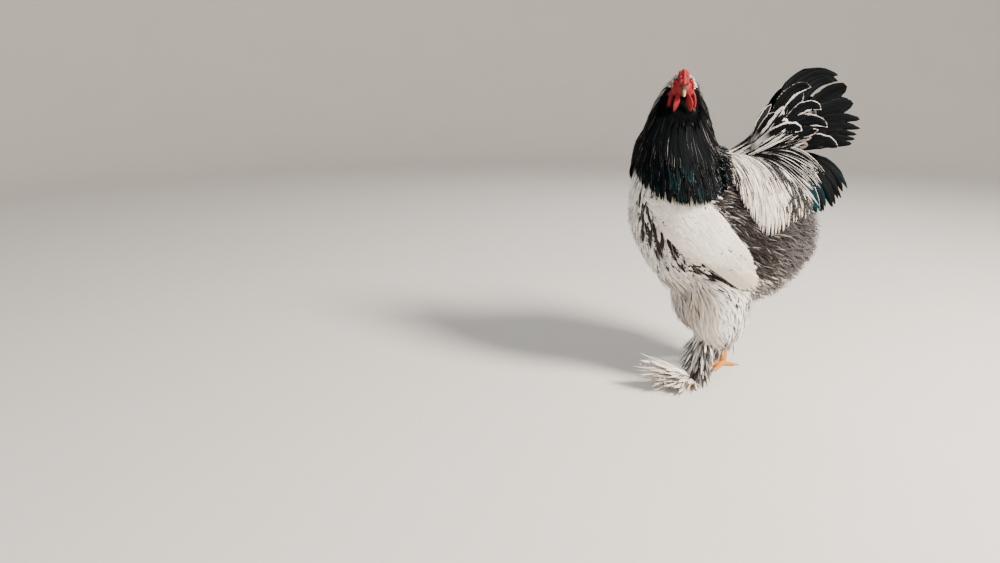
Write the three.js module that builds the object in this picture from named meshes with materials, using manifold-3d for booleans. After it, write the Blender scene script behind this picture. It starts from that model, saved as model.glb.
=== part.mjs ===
// A brahma cock as a still, life-size model, standing with its head turned to its left.
// Millimetres, +Z up. The bird faces -Y and its left side is +X.
import * as THREE from "three";
import { mergeVertices } from "three/addons/utils/BufferGeometryUtils.js";
import Module from "manifold-3d";

const wasm = await Module();
wasm.setup();
const { Manifold, Mesh } = wasm;

// Driving dimensions.
const GAP = 0.3; // clearance that neighbouring pieces keep
const BREAST_Y = -204; // foremost point of the breast
const BREAST_Z = 400;
const RUMP_Y = 199; // hindmost point of the fluff
const RUMP_Z = 330;
const BODY_SQUARENESS = 2.4; // 2 is an ellipse, more is boxier

// Torso sections from breast to rump: [y, top z, bottom z, half width].
const TORSO = [
  [-197, 455, 345, 44],
  [-180, 482, 306, 76],
  [-150, 500, 254, 102],
  [-116, 508, 222, 116],
  [-70, 510, 202, 126],
  [-20, 508, 190, 130],
  [30, 503, 184, 131],
  [75, 492, 190, 126],
  [115, 470, 208, 114],
  [150, 436, 243, 93],
  [180, 396, 276, 62],
];

// Hackle cape sections from the crown down: [z, centre x, centre y, half width, half depth].
const CAPE = [
  [668, -18, -102, 14, 19],
  [654, -18, -102, 26, 31],
  [638, -18, -104, 33, 39],
  [618, -17, -106, 39, 49],
  [597, -12, -107, 47, 58],
  [577, -6, -109, 58, 64],
  [556, -2, -111, 69, 71],
  [534, 0, -113, 82, 81],
  [512, 0, -110, 95, 89],
  [470, 0, -106, 118, 97],
  [440, 0, -104, 131, 99],
  [415, 0, -103, 139, 100],
];

// Small vector helpers.
const at = (x, y, z) => new THREE.Vector3(x, y, z);
const turn = (degrees) => (degrees * Math.PI) / 180;
const mix = (a, b, t) => a + (b - a) * t;

/** A smooth curve through rows of numbers, read by the first number of each row. */
function smoothRows(rows) {
  const slope = (i, k) => {
    const a = rows[Math.max(i - 1, 0)];
    const b = rows[Math.min(i + 1, rows.length - 1)];
    return (b[k] - a[k]) / (b[0] - a[0]);
  };
  const rising = rows[rows.length - 1][0] > rows[0][0] ? 1 : -1;
  return (where) => {
    let i = 0;
    while (i < rows.length - 2 && (where - rows[i + 1][0]) * rising > 0) i += 1;
    const [a, b] = [rows[i], rows[i + 1]];
    const span = b[0] - a[0];
    const t = THREE.MathUtils.clamp((where - a[0]) / span, 0, 1);
    return a.map((value, k) => {
      const rise = span * slope(i, k);
      const fall = span * slope(i + 1, k);
      const eased = t * t * (3 - 2 * t);
      const leaving = t * (1 - t) ** 2 * rise;
      const arriving = t ** 2 * (t - 1) * fall;
      return mix(value, b[k], eased) + leaving + arriving;
    });
  };
}

/** A closed solid from a mesh, turned inside out if its faces point inwards. */
function solidOf(geometry) {
  const bare = new THREE.BufferGeometry();
  bare.setAttribute("position", geometry.getAttribute("position"));
  if (geometry.index) bare.setIndex(geometry.index);
  const merged = mergeVertices(bare, 1e-4);
  const found = merged.index.array;
  const corners = [];
  for (let i = 0; i < found.length; i += 3) {
    const [a, b, c] = [found[i], found[i + 1], found[i + 2]];
    if (a !== b && b !== c && c !== a) corners.push(a, b, c);
  }
  const build = (list) =>
    new Manifold(
      new Mesh({
        numProp: 3,
        vertProperties: merged.attributes.position.array,
        triVerts: new Uint32Array(list),
      }),
    );
  const solid = build(corners);
  return solid.volume() < 0 ? build(corners.toReversed()) : solid;
}

/** The mesh of a solid. */
function geometryOf(solid) {
  const { numProp, vertProperties, triVerts } = solid.getMesh();
  const places = new Float32Array((vertProperties.length / numProp) * 3);
  for (let i = 0; i < places.length / 3; i += 1) {
    places.set(vertProperties.subarray(i * numProp, i * numProp + 3), i * 3);
  }
  return new THREE.BufferGeometry()
    .setAttribute("position", new THREE.BufferAttribute(places, 3))
    .setIndex(new THREE.BufferAttribute(triVerts, 1));
}

/** One solid from several, keeping only the largest closed body. */
function largest(solid) {
  return solid.decompose().reduce((best, body) => (body.volume() > best.volume() ? body : best));
}

const fuse = (solids) => largest(Manifold.union(solids));

/** A solid without the space that its neighbours take. */
function clearOf(solid, ...neighbours) {
  return largest(neighbours.reduce((left, taken) => left.subtract(taken), solid));
}

/** The same solid on the other side of the middle plane. */
function mirrored(solid) {
  return solidOf(geometryOf(solid).scale(-1, 1, 1));
}

/**
 * A closed surface through rings with equal counts of points, drawn to a point at each end. A first
 * point that is a corner of the first ring leaves a flat end.
 */
function ringSolid(rings, start, end) {
  const around = rings[0].length;
  const places = [start, ...rings.flat(), end].flatMap((p) => [p.x, p.y, p.z]);
  const index = [];
  const last = 1 + rings.length * around;
  const corner = (ring, i) => 1 + ring * around + (i % around);
  for (let i = 0; i < around; i += 1) {
    index.push(0, corner(0, i + 1), corner(0, i));
    index.push(last, corner(rings.length - 1, i), corner(rings.length - 1, i + 1));
    for (let ring = 0; ring < rings.length - 1; ring += 1) {
      index.push(corner(ring, i), corner(ring, i + 1), corner(ring + 1, i + 1));
      index.push(corner(ring, i), corner(ring + 1, i + 1), corner(ring + 1, i));
    }
  }
  const geometry = new THREE.BufferGeometry();
  geometry.setAttribute("position", new THREE.Float32BufferAttribute(places, 3));
  geometry.setIndex(index);
  return solidOf(geometry);
}

/** A rounded form along a line of stations, each {centre, across, up, wide, high}. */
function limb(stations, around = 12) {
  const ring = ({ centre, across, up, wide, high }) =>
    Array.from({ length: around }, (_, i) => {
      const a = (i / around) * 2 * Math.PI;
      return centre
        .clone()
        .addScaledVector(across, wide * Math.cos(a))
        .addScaledVector(up, high * Math.sin(a));
    });
  const inner = stations.slice(1, -1).map(ring);
  return ringSolid(inner, stations[0].centre, stations[stations.length - 1].centre);
}

/** A ball drawn out to three half sizes, turned by an optional matrix and moved to its centre. */
function ball(centre, sizes, rotation = null, [across, down] = [12, 8]) {
  const geometry = new THREE.SphereGeometry(1, across, down).scale(sizes.x, sizes.y, sizes.z);
  if (rotation) geometry.applyMatrix4(rotation);
  return solidOf(geometry.translate(centre.x, centre.y, centre.z));
}

let seed = 7;
/** A repeatable random number from -1 to 1, times an amount. */
function vary(amount) {
  seed = (seed * 16807) % 2147483647;
  return amount * ((2 * seed) / 2147483647 - 1);
}

/**
 * One feather as a thin closed blade. spot(t, aside) gives the surface it lies on, t from its root
 * to its tip and aside in millimetres across it. outline lists [t, share of the half width].
 */
function feather(spot, { half, thick, outline, tilt = 0 }) {
  const places = outline.flatMap(([t, share]) => {
    const aside = half * share;
    const across = spot(t, aside).sub(spot(t, -aside));
    const ahead = spot(Math.min(t + 0.05, 1), 0).sub(spot(Math.min(t, 0.95), 0));
    const out = ahead.cross(across).normalize();
    const corner = (side, level) => {
      const rise = (level * thick) / 2 + tilt * side * share;
      return spot(t, side * aside).addScaledVector(out, rise);
    };
    return [corner(-1, -1), corner(1, -1), corner(1, 1), corner(-1, 1)];
  });
  const rings = outline.map((_, i) => places.slice(4 * i, 4 * i + 4));
  return ringSolid(rings, rings[0][0], spot(1, 0));
}

// Feather outlines: [share of the length, share of the half width].
const POINTED = [
  [0, 0.45],
  [0.45, 1],
  [0.82, 0.66],
];
const SICKLE = [
  [0, 0.7],
  [0.42, 1],
  [0.8, 0.8],
];
const ROUNDED = [
  [0, 0.5],
  [0.5, 1],
  [0.9, 0.8],
];
const SPREAD = [
  [0, 0.25],
  [0.5, 1],
  [0.88, 0.8],
];
const SHORT = [
  [0, 0.6],
  [0.78, 1],
];

// Torso.
const torsoRow = smoothRows(TORSO);

/** The torso's half width at a place on its side, grown by an amount. */
function flankX(y, z, grow = 0) {
  const [, top, bottom, half] = torsoRow(THREE.MathUtils.clamp(y, TORSO[0][0], TORSO[TORSO.length - 1][0]));
  const rise = Math.abs(z - (top + bottom) / 2) / ((top - bottom) / 2 + grow);
  const left = Math.max(1 - rise ** BODY_SQUARENESS, 0);
  return (half + grow) * left ** (1 / BODY_SQUARENESS);
}

/** A point on the torso: how far along it, and the angle round it, 0 on the left and 90 on the back. */
function torsoPoint(y, degrees, grow = 0) {
  const [, top, bottom, half] = torsoRow(y);
  const bend = (value) => Math.sign(value) * Math.abs(value) ** (2 / BODY_SQUARENESS);
  const a = turn(degrees);
  const x = (half + grow) * bend(Math.cos(a));
  const z = (top + bottom) / 2 + ((top - bottom) / 2 + grow) * bend(Math.sin(a));
  return at(x, y, z);
}

function torso(grow = 0) {
  const AROUND = 26;
  const STEPS = 17;
  const first = TORSO[0][0];
  const final = TORSO[TORSO.length - 1][0];
  const rings = Array.from({ length: STEPS }, (_, i) => {
    const share = (1 - Math.cos((Math.PI * i) / (STEPS - 1))) / 2;
    const y = mix(first, final, mix(share, i / (STEPS - 1), 0.5));
    return Array.from({ length: AROUND }, (_, k) => torsoPoint(y, (k * 360) / AROUND, grow));
  });
  return ringSolid(rings, at(0, BREAST_Y - grow, BREAST_Z), at(0, RUMP_Y + grow, RUMP_Z));
}

// Head, in its own axes: forward along the beak, side to the bird's left, and up.
const HEAD_CENTRE = at(10, -110, 646);
const HEAD_YAW = 79; // turned to the left of straight ahead
const HEAD_PITCH = 11; // beak below level
const headTurn = new THREE.Matrix4()
  .makeRotationZ(turn(HEAD_YAW - 90))
  .multiply(new THREE.Matrix4().makeRotationY(turn(HEAD_PITCH)));

/** A direction in the head's axes, in which the beak points forward and up is the crown. */
const headWay = (forward, side, up) => at(forward, side, up).applyMatrix4(headTurn);
const headPoint = (forward, side, up) => headWay(forward, side, up).add(HEAD_CENTRE);

// Skull sections from nape to beak: [forward, half width, top, bottom].
const SKULL = [
  [-34, 10, 10, -8],
  [-27, 19, 18, -18],
  [-14, 23.5, 24, -23],
  [0, 24, 25, -22],
  [12, 20, 22, -18],
  [22, 14, 15, -14],
  [28, 9, 8, -10],
];

/** A form along the head's forward axis from rows of [forward, half width, top, bottom]. */
function headForm(rows, start, end, grow = 0, around = 12) {
  const rings = rows.map(([forward, half, top, bottom]) =>
    Array.from({ length: around }, (_, k) => {
      const a = (k * 2 * Math.PI) / around;
      const middle = (top + bottom) / 2;
      const high = (top - bottom) / 2 + grow;
      return headPoint(forward, (half + grow) * Math.cos(a), middle + high * Math.sin(a));
    }),
  );
  return ringSolid(rings, headPoint(...start), headPoint(...end));
}

const EYE = { forward: 9, side: 17.5, up: 5, radius: 6.2 };

function eye(side, grow = 0) {
  const centre = headPoint(EYE.forward, side * EYE.side, EYE.up);
  const size = EYE.radius + grow;
  return ball(centre, at(size, size, size), null, [10, 6]);
}

/** A ring of skin round the eye, its two lids. */
function lids(side) {
  const ring = new THREE.TorusGeometry(EYE.radius - 0.3, 1.7, 5, 12);
  ring.applyMatrix4(new THREE.Matrix4().makeRotationX(Math.PI / 2));
  ring.scale(1, 1, 0.82);
  ring.translate(EYE.forward, side * (EYE.side + 2.6), EYE.up);
  ring.applyMatrix4(headTurn).translate(HEAD_CENTRE.x, HEAD_CENTRE.y, HEAD_CENTRE.z);
  return solidOf(ring);
}

function skull(grow = 0) {
  const brow = (side) =>
    ball(headPoint(6, side * 14.5, 14.5), at(13 + grow, 6 + grow, 5.5 + grow), headTurn, [8, 5]);
  const cheek = (side) =>
    ball(headPoint(2, side * 14.5, -10), at(13 + grow, 7.5 + grow, 10 + grow), headTurn, [8, 5]);
  const form = headForm(SKULL, [-38 - grow, 0, 0], [30 + grow, 0, -2], grow);
  return fuse([form, brow(1), brow(-1), cheek(1), cheek(-1)]);
}

function head() {
  const whole = fuse([skull(), lids(1), lids(-1)]);
  return clearOf(whole, eye(1, GAP), eye(-1, GAP));
}

// Beak sections: [forward, half width, top, bottom]. The mouth line runs between the two halves.
const UPPER_BEAK = [
  [24, 9, 9.5, -3],
  [31, 8.2, 8.5, -3.4],
  [38, 6.4, 5, -4.6],
  [45, 4, 0, -7],
  [50, 1.8, -5.2, -10],
];
const LOWER_BEAK = [
  [24, 7.6, -3.9, -11.5],
  [31, 6.8, -4.3, -11.3],
  [38, 5, -5.5, -11],
  [43.5, 2.6, -7.4, -11],
];

function upperBeak(grow = 0) {
  const form = headForm(UPPER_BEAK, [20, 0, 2], [52, 0, -10], grow);
  const nostril = (side) =>
    ball(headPoint(32.5, side * 7.8, 3), at(2.4, 1.5, 1), headTurn, [6, 4]);
  return form.subtract(nostril(1)).subtract(nostril(-1));
}

function lowerBeak(grow = 0) {
  return headForm(LOWER_BEAK, [20, 0, -7], [45.5, 0, -10], grow);
}

/** A low comb of three lengthwise rows of beads, the middle row the highest. */
function comb() {
  const BEADS = 4;
  const ROW_APART = 7;
  const beads = [-1, 0, 1].flatMap((row) =>
    Array.from({ length: row ? BEADS - 1 : BEADS }, (_, i) => {
      const share = (i + (row ? 0.5 : 0)) / (BEADS - 1);
      const swell = Math.sin(Math.PI * mix(0.18, 0.86, share));
      const rise = (row === 0 ? 8 : 3.6) * swell;
      const size = row === 0 ? 5.6 : 4.9;
      const up = mix(25, 9.5, share ** 1.7) + rise;
      const centre = headPoint(mix(-4, 29, share), row * ROW_APART * mix(0.7, 1, swell), up);
      return ball(centre, at(size, size * 0.95, size * 1.25), headTurn, [5, 4]);
    }),
  );
  const slope = new THREE.Matrix4().makeRotationY(turn(24));
  const base = ball(headPoint(12, 0, 20), at(21, 8.5, 6.5), headTurn.clone().multiply(slope), [8, 5]);
  return fuse([base, ...beads]);
}

/** A hanging lobe of skin: where its top is in the head's axes, then its length, width and thickness. */
function lobe({ forward, side, up, base, splay, long, wide, thick }, grow = 0) {
  const PROFILE = [0, 0.62, 0.9, 1, 0.82, 0.45, 0];
  const top = headPoint(forward, side * base, up);
  const out = headWay(0, side, 0);
  const across = headWay(0.7, side * 0.7, 0).setZ(0).normalize();
  const stations = PROFILE.map((share, i) => {
    const t = i / (PROFILE.length - 1);
    return {
      centre: top.clone().addScaledVector(out, splay * t).setZ(top.z - long * t),
      across,
      up: at(-across.y, across.x, 0),
      wide: share ? wide * share + grow : 0,
      high: share ? thick * Math.sqrt(share) + grow : 0,
    };
  });
  stations[0].centre.z += grow;
  stations[stations.length - 1].centre.z -= grow;
  return limb(stations, 9);
}
const WATTLE = { forward: 24, up: -7, base: 10, splay: 11, long: 40, wide: 10.5, thick: 3.6 };
const EARLOBE = { forward: 1, up: -5, base: 22, splay: 8, long: 42, wide: 6.5, thick: 3.4 };
const wattle = (side, grow = 0) => lobe({ ...WATTLE, side }, grow);
const earlobe = (side, grow = 0) => lobe({ ...EARLOBE, side }, grow);

// Wing, laid out on the left flank: along runs from the shoulder to the tip, up runs across it.
const WING_SHOULDER = { y: -178, z: 425 };
const WING_TIP = { y: 32, z: 232 };
const WING_LONG = Math.hypot(WING_TIP.y - WING_SHOULDER.y, WING_TIP.z - WING_SHOULDER.z);
const WING_WAY = {
  y: (WING_TIP.y - WING_SHOULDER.y) / WING_LONG,
  z: (WING_TIP.z - WING_SHOULDER.z) / WING_LONG,
};

/** A point over the left flank from a place on the folded wing. */
function wingPoint(along, across, lift) {
  const y = WING_SHOULDER.y + along * WING_WAY.y - across * WING_WAY.z;
  const z = WING_SHOULDER.z + along * WING_WAY.z + across * WING_WAY.y;
  const spread = 12 * THREE.MathUtils.smoothstep(along, 170, WING_LONG);
  return at(flankX(y, z) + lift + spread, y, z);
}

// Wing outline: [along, lower edge, upper edge, thickness over the flank].
const WING = [
  [-12, -16, 10, 7],
  [10, -28, 40, 12],
  [40, -43, 66, 14],
  [80, -50, 82, 14],
  [118, -46, 75, 13],
  [150, -38, 64, 12],
  [185, -30, 58, 11],
  [220, -24, 54, 10],
  [245, -20, 45, 9],
  [266, -17, 36, 8],
  [280, -9, 20, 6],
];
const wingRow = smoothRows(WING);

/** How far the wing's outer face stands off the flank. */
function wingTop(along, across) {
  const [, low, high, deep] = wingRow(along);
  const share = THREE.MathUtils.clamp((across - low) / (high - low), 0, 1);
  return 4 + (deep - 4) * Math.sin(Math.PI * share) ** 0.35;
}

/** How far anything that lies over the wing has to stand off the flank. */
function wingCover(y, z) {
  const [dy, dz] = [y - WING_SHOULDER.y, z - WING_SHOULDER.z];
  const along = dy * WING_WAY.y + dz * WING_WAY.z;
  const across = dz * WING_WAY.y - dy * WING_WAY.z;
  const [first, final] = [WING[0][0], WING[WING.length - 1][0]];
  const [, low, high, deep] = wingRow(THREE.MathUtils.clamp(along, first, final));
  const outside = Math.max(low - across, across - high, first - along, along - final, 0);
  return deep * (1 - THREE.MathUtils.smoothstep(outside, 3, 16));
}

/** A slab on the flank: how far its edge and face are drawn in from the wing's, and where it ends. */
function wingSlab(inset, sunk, final, ends, steps = 13) {
  const ROUND = 6;
  const rings = Array.from({ length: steps }, (_, i) => {
    const along = mix(WING[0][0] + inset, final, (1 - Math.cos((Math.PI * i) / (steps - 1))) / 2);
    const [, low, high] = wingRow(along);
    const place = (share) => mix(low + inset, high - inset, share);
    const shares = Array.from({ length: ROUND }, (__, k) => k / (ROUND - 1));
    const outer = shares.map((share) => {
      const across = place(share);
      return wingPoint(along, across, Math.max(wingTop(along, mix(low, high, share)) - sunk, 1));
    });
    const inner = shares.toReversed().map((share) => wingPoint(along, place(share), Math.min(sunk, 0) - 2));
    return [...outer, ...inner];
  });
  return ringSolid(rings, wingPoint(WING[0][0] - 6 + inset, -4, 3), wingPoint(final + ends, 4, 3));
}

/** All the space that the wing and its feathers take. */
function wingSpaceOf(grow) {
  const final = WING[WING.length - 1][0];
  return wingSlab(-grow, -grow, final, WING_LONG + 2 - final + grow);
}

// Flight feathers from the lowest up: [root across, tip along, tip across].
const FLIGHTS = [
  [-31, 266, -9],
  [-23, 275, -3],
  [-15, 281, 4],
  [-4, 276, 13],
  [7, 266, 22],
  [19, 253, 31],
  [31, 237, 39],
  [43, 219, 46],
  [54, 200, 50],
];
const FLIGHT_ROOT = 108;

// Covert tiers from the tip side to the shoulder:
// [root along, length, lower end, upper end, feathers, half width].
const COVERTS = [
  [66, 88, -38, 62, 6, 10.4],
  [36, 64, -30, 54, 5, 10.4],
  [8, 56, -18, 40, 3, 10.8],
  [-8, 38, -6, 20, 2, 8],
];

function wingFeathers() {
  const lying = (from, to, deep) => (t, aside) => {
    const along = mix(from[0], to[0], t);
    const across = mix(from[1], to[1], t) + aside;
    return wingPoint(along, across, Math.max(wingTop(along, across) - deep(t), 1.8));
  };
  const flights = FLIGHTS.map(([root, tipAlong, tipAcross], i) => {
    const deep = (t) => mix(8.5, 3 - i * 0.12, Math.min(t * 1.7, 1));
    const spot = lying([FLIGHT_ROOT, root], [tipAlong + vary(2), tipAcross], deep);
    return feather(spot, { half: 7.5, thick: 0.8, outline: ROUNDED, tilt: -1.1 });
  });
  const coverts = COVERTS.flatMap(([root, long, low, high, count, half]) =>
    Array.from({ length: count }, (_, i) => {
      const share = (i + 0.5) / count;
      const across = mix(low, high, share);
      const start = root + vary(2) + 14 * Math.sin(Math.PI * share);
      const deep = (t) => mix(8.5, 1.4, t ** 0.8);
      const spot = lying([start, across], [start + long + vary(4), across * 0.86 + vary(2)], deep);
      return feather(spot, { half, thick: 0.8, outline: SHORT, tilt: -1 });
    }),
  );
  return [...flights, ...coverts];
}

function wing() {
  return fuse([wingSlab(5, 6, 178, 6, 8), ...wingFeathers()]);
}

// Saddle, the long feathers that fall from the back over both flanks.
// Saddle outline from front to back: [y, hem z, thickness].
const SADDLE = [
  [-34, 470, 5],
  [-20, 448, 8],
  [0, 405, 10],
  [20, 378, 11],
  [43, 351, 11],
  [73, 354, 11],
  [107, 374, 11],
  [140, 378, 10],
  [165, 390, 8],
];
const saddleRow = smoothRows(SADDLE);

/** The angle round the torso at which its left flank reaches a height. */
function flankAngle(y, z) {
  const [, top, bottom] = torsoRow(y);
  const rise = THREE.MathUtils.clamp((z - (top + bottom) / 2) / ((top - bottom) / 2), -1, 1);
  return THREE.MathUtils.radToDeg(Math.asin(Math.sign(rise) * Math.abs(rise) ** (BODY_SQUARENESS / 2)));
}

/** A point on the saddle: share is 0 on the ridge and 1 at the left hem, below is under its face. */
function saddlePoint(y, share, below) {
  const [, hem, deep] = saddleRow(y);
  const angle = mix(90, flankAngle(y, hem), share);
  const flank = torsoPoint(y, angle);
  const face = Math.max(deep, wingCover(y, flank.z) + 5) * (1 - Math.abs(share) ** 12) + 1.5;
  return torsoPoint(y, angle, face - below);
}

/** The saddle's form with its face sunk and its hem drawn up by a share of its fall. */
function saddleForm(sunk, drawnUp, grow = 0) {
  const around = grow ? 11 : 9;
  const shares = Array.from({ length: around }, (_, i) => (2 * i) / (around - 1) - 1);
  const rings = SADDLE.map(([y]) => {
    const reach = 1 - drawnUp + grow / 120;
    const place = (share, below) => {
      const point = saddlePoint(y, Math.abs(share) * reach, below);
      return share < 0 ? point.setX(-point.x) : point;
    };
    const outer = shares.map((share) => place(share, sunk - grow));
    const [, , deep] = saddleRow(y);
    return [...outer, ...shares.toReversed().map((share) => place(share, deep + 4))];
  });
  return ringSolid(rings, torsoPoint(-42 - grow, 90, 1), torsoPoint(180 + grow, 90, 1));
}

// Saddle tiers down the flank: share of the fall at the root, and feathers on each side.
const SADDLE_TIERS = [
  [0.08, 4],
  [0.32, 6],
  [0.54, 7],
];
const SADDLE_REACH = 0.45; // share of the fall that one feather covers
const SADDLE_HALF = 9;

function saddle() {
  const [front, back] = [-22, 150];
  const feathers = [1, -1].flatMap((side) =>
    SADDLE_TIERS.flatMap(([root, count], tier) =>
      Array.from({ length: count }, (_, i) => {
        const y = mix(front, back, (i + 0.5 * (tier % 2) + 0.25) / count) + vary(2);
        const reach = SADDLE_REACH * (1 + vary(0.07)) - 0.01;
        const start = Math.min(root + vary(0.02), 0.985 - reach);
        const drift = 12 + vary(3);
        const spot = (t, aside) => {
          const below = mix(9.5, 0.9, t ** 0.7);
          const point = saddlePoint(y + drift * t + aside, start + reach * t, below);
          return point.setX(side * point.x);
        };
        return feather(spot, { half: SADDLE_HALF, thick: 0.8, outline: POINTED, tilt: 1 });
      }),
    ),
  );
  return fuse([saddleForm(5, 0.4), ...feathers]);
}

// Neck and hackle.
const capeRow = smoothRows(CAPE);

/** A point on the hackle cape: its height, and the angle round it, 0 on the left and -90 in front. */
function capePoint(z, degrees, grow = 0) {
  const [, x, y, half, deep] = capeRow(z);
  const a = turn(degrees);
  return at(x + (half + grow) * Math.cos(a), y + (deep + grow) * Math.sin(a), z);
}

// How low the hackle reaches: [angle round the neck, z], the same on both sides.
const HEMS = [
  [-90, 490],
  [-50, 436],
  [0, 422],
  [40, 444],
  [65, 488],
  [90, 512],
];
const hemRow = smoothRows(HEMS);

/** The hem's height at any angle. */
function capeHem(degrees) {
  const wrapped = THREE.MathUtils.euclideanModulo(degrees + 90, 360) - 90;
  return hemRow(wrapped > 90 ? 180 - wrapped : wrapped)[1];
}

/** The same point moved out to keep a distance from the torso and all that lies on it. */
function layOver(point, above) {
  const { y } = point;
  if (y < TORSO[0][0] || y > TORSO[TORSO.length - 1][0]) return point;
  const [, top, bottom, half] = torsoRow(y);
  const middle = (top + bottom) / 2;
  const [dx, dz] = [Math.abs(point.x), point.z - middle];
  const n = BODY_SQUARENESS;
  const share = ((dx / half) ** n + (Math.abs(dz) / ((top - bottom) / 2)) ** n) ** (1 / n);
  const reach = Math.hypot(dx, dz);
  const saddleDeep = y > SADDLE[0][0] - 8 ? saddleRow(Math.max(y, SADDLE[0][0]))[2] + 2 : 0;
  const need = reach / share + above + Math.max(wingCover(y, point.z), saddleDeep);
  const scale = Math.max(need / reach, 1);
  return point.set(point.x * scale, y, middle + dz * scale);
}

/** A point on the fall of the hackle: share is 0 at the crown and 1 at the hem. */
function hacklePoint(share, degrees, lift) {
  const z = mix(666, capeHem(degrees), share);
  const point = capePoint(z, degrees, lift);
  const rearward = Math.max(Math.sin(turn(degrees)), 0) ** 2;
  point.y += 12 * rearward * THREE.MathUtils.smoothstep(share, 0.7, 1.05);
  return layOver(point, 5 + lift * 0.5);
}

/** The neck under its feathers. */
function neckCore() {
  const AROUND = 14;
  const levels = [0.02, 0.1, 0.24, 0.42, 0.6, 0.8];
  const rings = levels.map((share) =>
    Array.from({ length: AROUND }, (_, k) => {
      const degrees = (k * 360) / AROUND;
      return capePoint(mix(666, Math.max(capeHem(degrees), 440), share), degrees, -6);
    }),
  );
  return ringSolid(rings, at(-18, -102, 668), at(0, -104, 462));
}

// Hackle tiers down the neck: [share of the fall at the root, feathers].
const HACKLE_TIERS = [
  [0.05, 8],
  [0.26, 11],
  [0.45, 14],
  [0.62, 17],
];
const HACKLE_REACH = 0.39; // share of the fall that one feather covers
const HACKLE_HALF = 11.5;
const FACE_ANGLE = HEAD_YAW - 90;

function neck() {
  const feathers = HACKLE_TIERS.flatMap(([root, count], tier) =>
    Array.from({ length: count }, (_, i) => {
      const degrees = (360 * (i + 0.5 * (tier % 2))) / count + vary(1.5);
      const start = root + vary(0.015);
      const reach = Math.min(HACKLE_REACH * (1 + vary(0.09)), 1.02 - start);
      const sweep = vary(2);
      const spot = (t, aside) => {
        const share = start + reach * t;
        const [, , , wide, deep] = capeRow(mix(666, capeHem(degrees), share));
        const angle = degrees + sweep * t + THREE.MathUtils.radToDeg(aside / ((wide + deep) / 2));
        return hacklePoint(share, angle, -10 + 13.5 * t ** 0.6);
      };
      const offFace = Math.abs(THREE.MathUtils.euclideanModulo(degrees - FACE_ANGLE + 180, 360) - 180);
      if (start < 0.3 && offFace < 75 - 100 * start) return null;
      return feather(spot, { half: HACKLE_HALF, thick: 0.8, outline: POINTED, tilt: 1 });
    }),
  );
  return fuse([neckCore(), ...feathers.filter(Boolean)]);
}

// Tail. Every feather starts on a stub over the rump and is drawn in the plane of its own side.
const TAIL_ROOT = { y: 96, z: 476 };

/**
 * A point on a curved tail feather of the left side, from [y, z] at its root, bend and tip and its
 * stand-off from the middle at both ends.
 */
function tailCurve({ root, bend, tip, near, far }, t) {
  const [u, v, w] = [(1 - t) ** 2, 2 * t * (1 - t), t ** 2];
  const y = u * root[0] + v * bend[0] + w * tip[0];
  const z = u * root[1] + v * bend[1] + w * tip[1];
  return at(mix(near, far, t ** 0.8), y, z);
}

function tailFeather(path, half, outline, side, tilt) {
  const spot = (t, aside) => {
    const here = tailCurve(path, t);
    const ahead = tailCurve(path, Math.min(t + 0.02, 1)).sub(tailCurve(path, Math.min(t, 0.98)));
    const across = at(0, -ahead.z, ahead.y).normalize();
    here.addScaledVector(across, aside);
    return here.setX(side * here.x);
  };
  return feather(spot, { half, thick: 1, outline, tilt: side * tilt });
}

// Main tail feathers from the top down: [tip y, tip z], fanned from the root.
const MAIN_TAIL = [
  [238, 645],
  [252, 616],
  [268, 590],
  [280, 564],
  [279, 540],
  [262, 520],
];

// Sickles from the top down: [bend y, bend z, tip y, tip z, stand-off of the tip, half width].
const SICKLES = [
  [86, 704, 220, 670, 5, 12],
  [148, 679, 212, 652, 20, 11],
  [214, 524, 256, 436, 24, 10],
  [200, 504, 238, 410, 36, 10],
  [184, 488, 210, 394, 50, 10],
  [166, 474, 180, 386, 72, 9],
];

// Coverts before and beside the main tail:
// [root y, root z, bend y, bend z, tip y, tip z, stand-off of the tip].
const TAIL_COVERTS = [
  [58, 502, 76, 560, 92, 616, 12],
  [62, 502, 84, 592, 116, 646, 10],
  [66, 500, 88, 572, 116, 602, 34],
  [74, 500, 118, 604, 176, 592, 34],
  [66, 496, 100, 566, 138, 556, 48],
  [74, 496, 132, 580, 192, 560, 42],
  [74, 490, 146, 548, 217, 520, 42],
];

function tailStub() {
  const rows = [
    [34, 472, 12, 18],
    [52, 490, 24, 34],
    [84, 500, 30, 46],
    [112, 506, 26, 42],
    [136, 512, 17, 30],
  ];
  const stations = [[24, 466, 0, 0], ...rows, [150, 516, 0, 0]].map(([y, z, wide, high]) => ({
    centre: at(0, y, z),
    across: at(1, 0, 0),
    up: at(0, 0, 1),
    wide,
    high,
  }));
  return limb(stations, 12);
}

function tail() {
  const root = [TAIL_ROOT.y, TAIL_ROOT.z];
  const feathers = [1, -1].flatMap((side) => {
    const mains = MAIN_TAIL.map(([y, z], i) => {
      const bend = [mix(root[0], y, 0.5), mix(root[1], z, 0.56)];
      const path = { root, bend, tip: [y + vary(2), z + vary(2)], near: 3 + 2.8 * i, far: 4 + 5 * i };
      return tailFeather(path, 15, ROUNDED, side, -0.4);
    });
    const sickles = SICKLES.map(([by, bz, y, z, far, half], i) => {
      const start = [root[0] - 4, 506 - 3 * i];
      const path = { root: start, bend: [by, bz], tip: [y, z + vary(2)], near: 8 + 2 * i, far };
      return tailFeather(path, half, SICKLE, side, 0.4);
    });
    const coverts = TAIL_COVERTS.map(([ry, rz, by, bz, y, z, far]) => {
      const path = { root: [ry, rz], bend: [by, bz], tip: [y + vary(3), z + vary(3)], near: 16, far };
      return tailFeather(path, 10, POINTED, side, 0.5);
    });
    return [...mains, ...sickles, ...coverts];
  });
  return fuse([tailStub(), ...feathers]);
}

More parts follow.
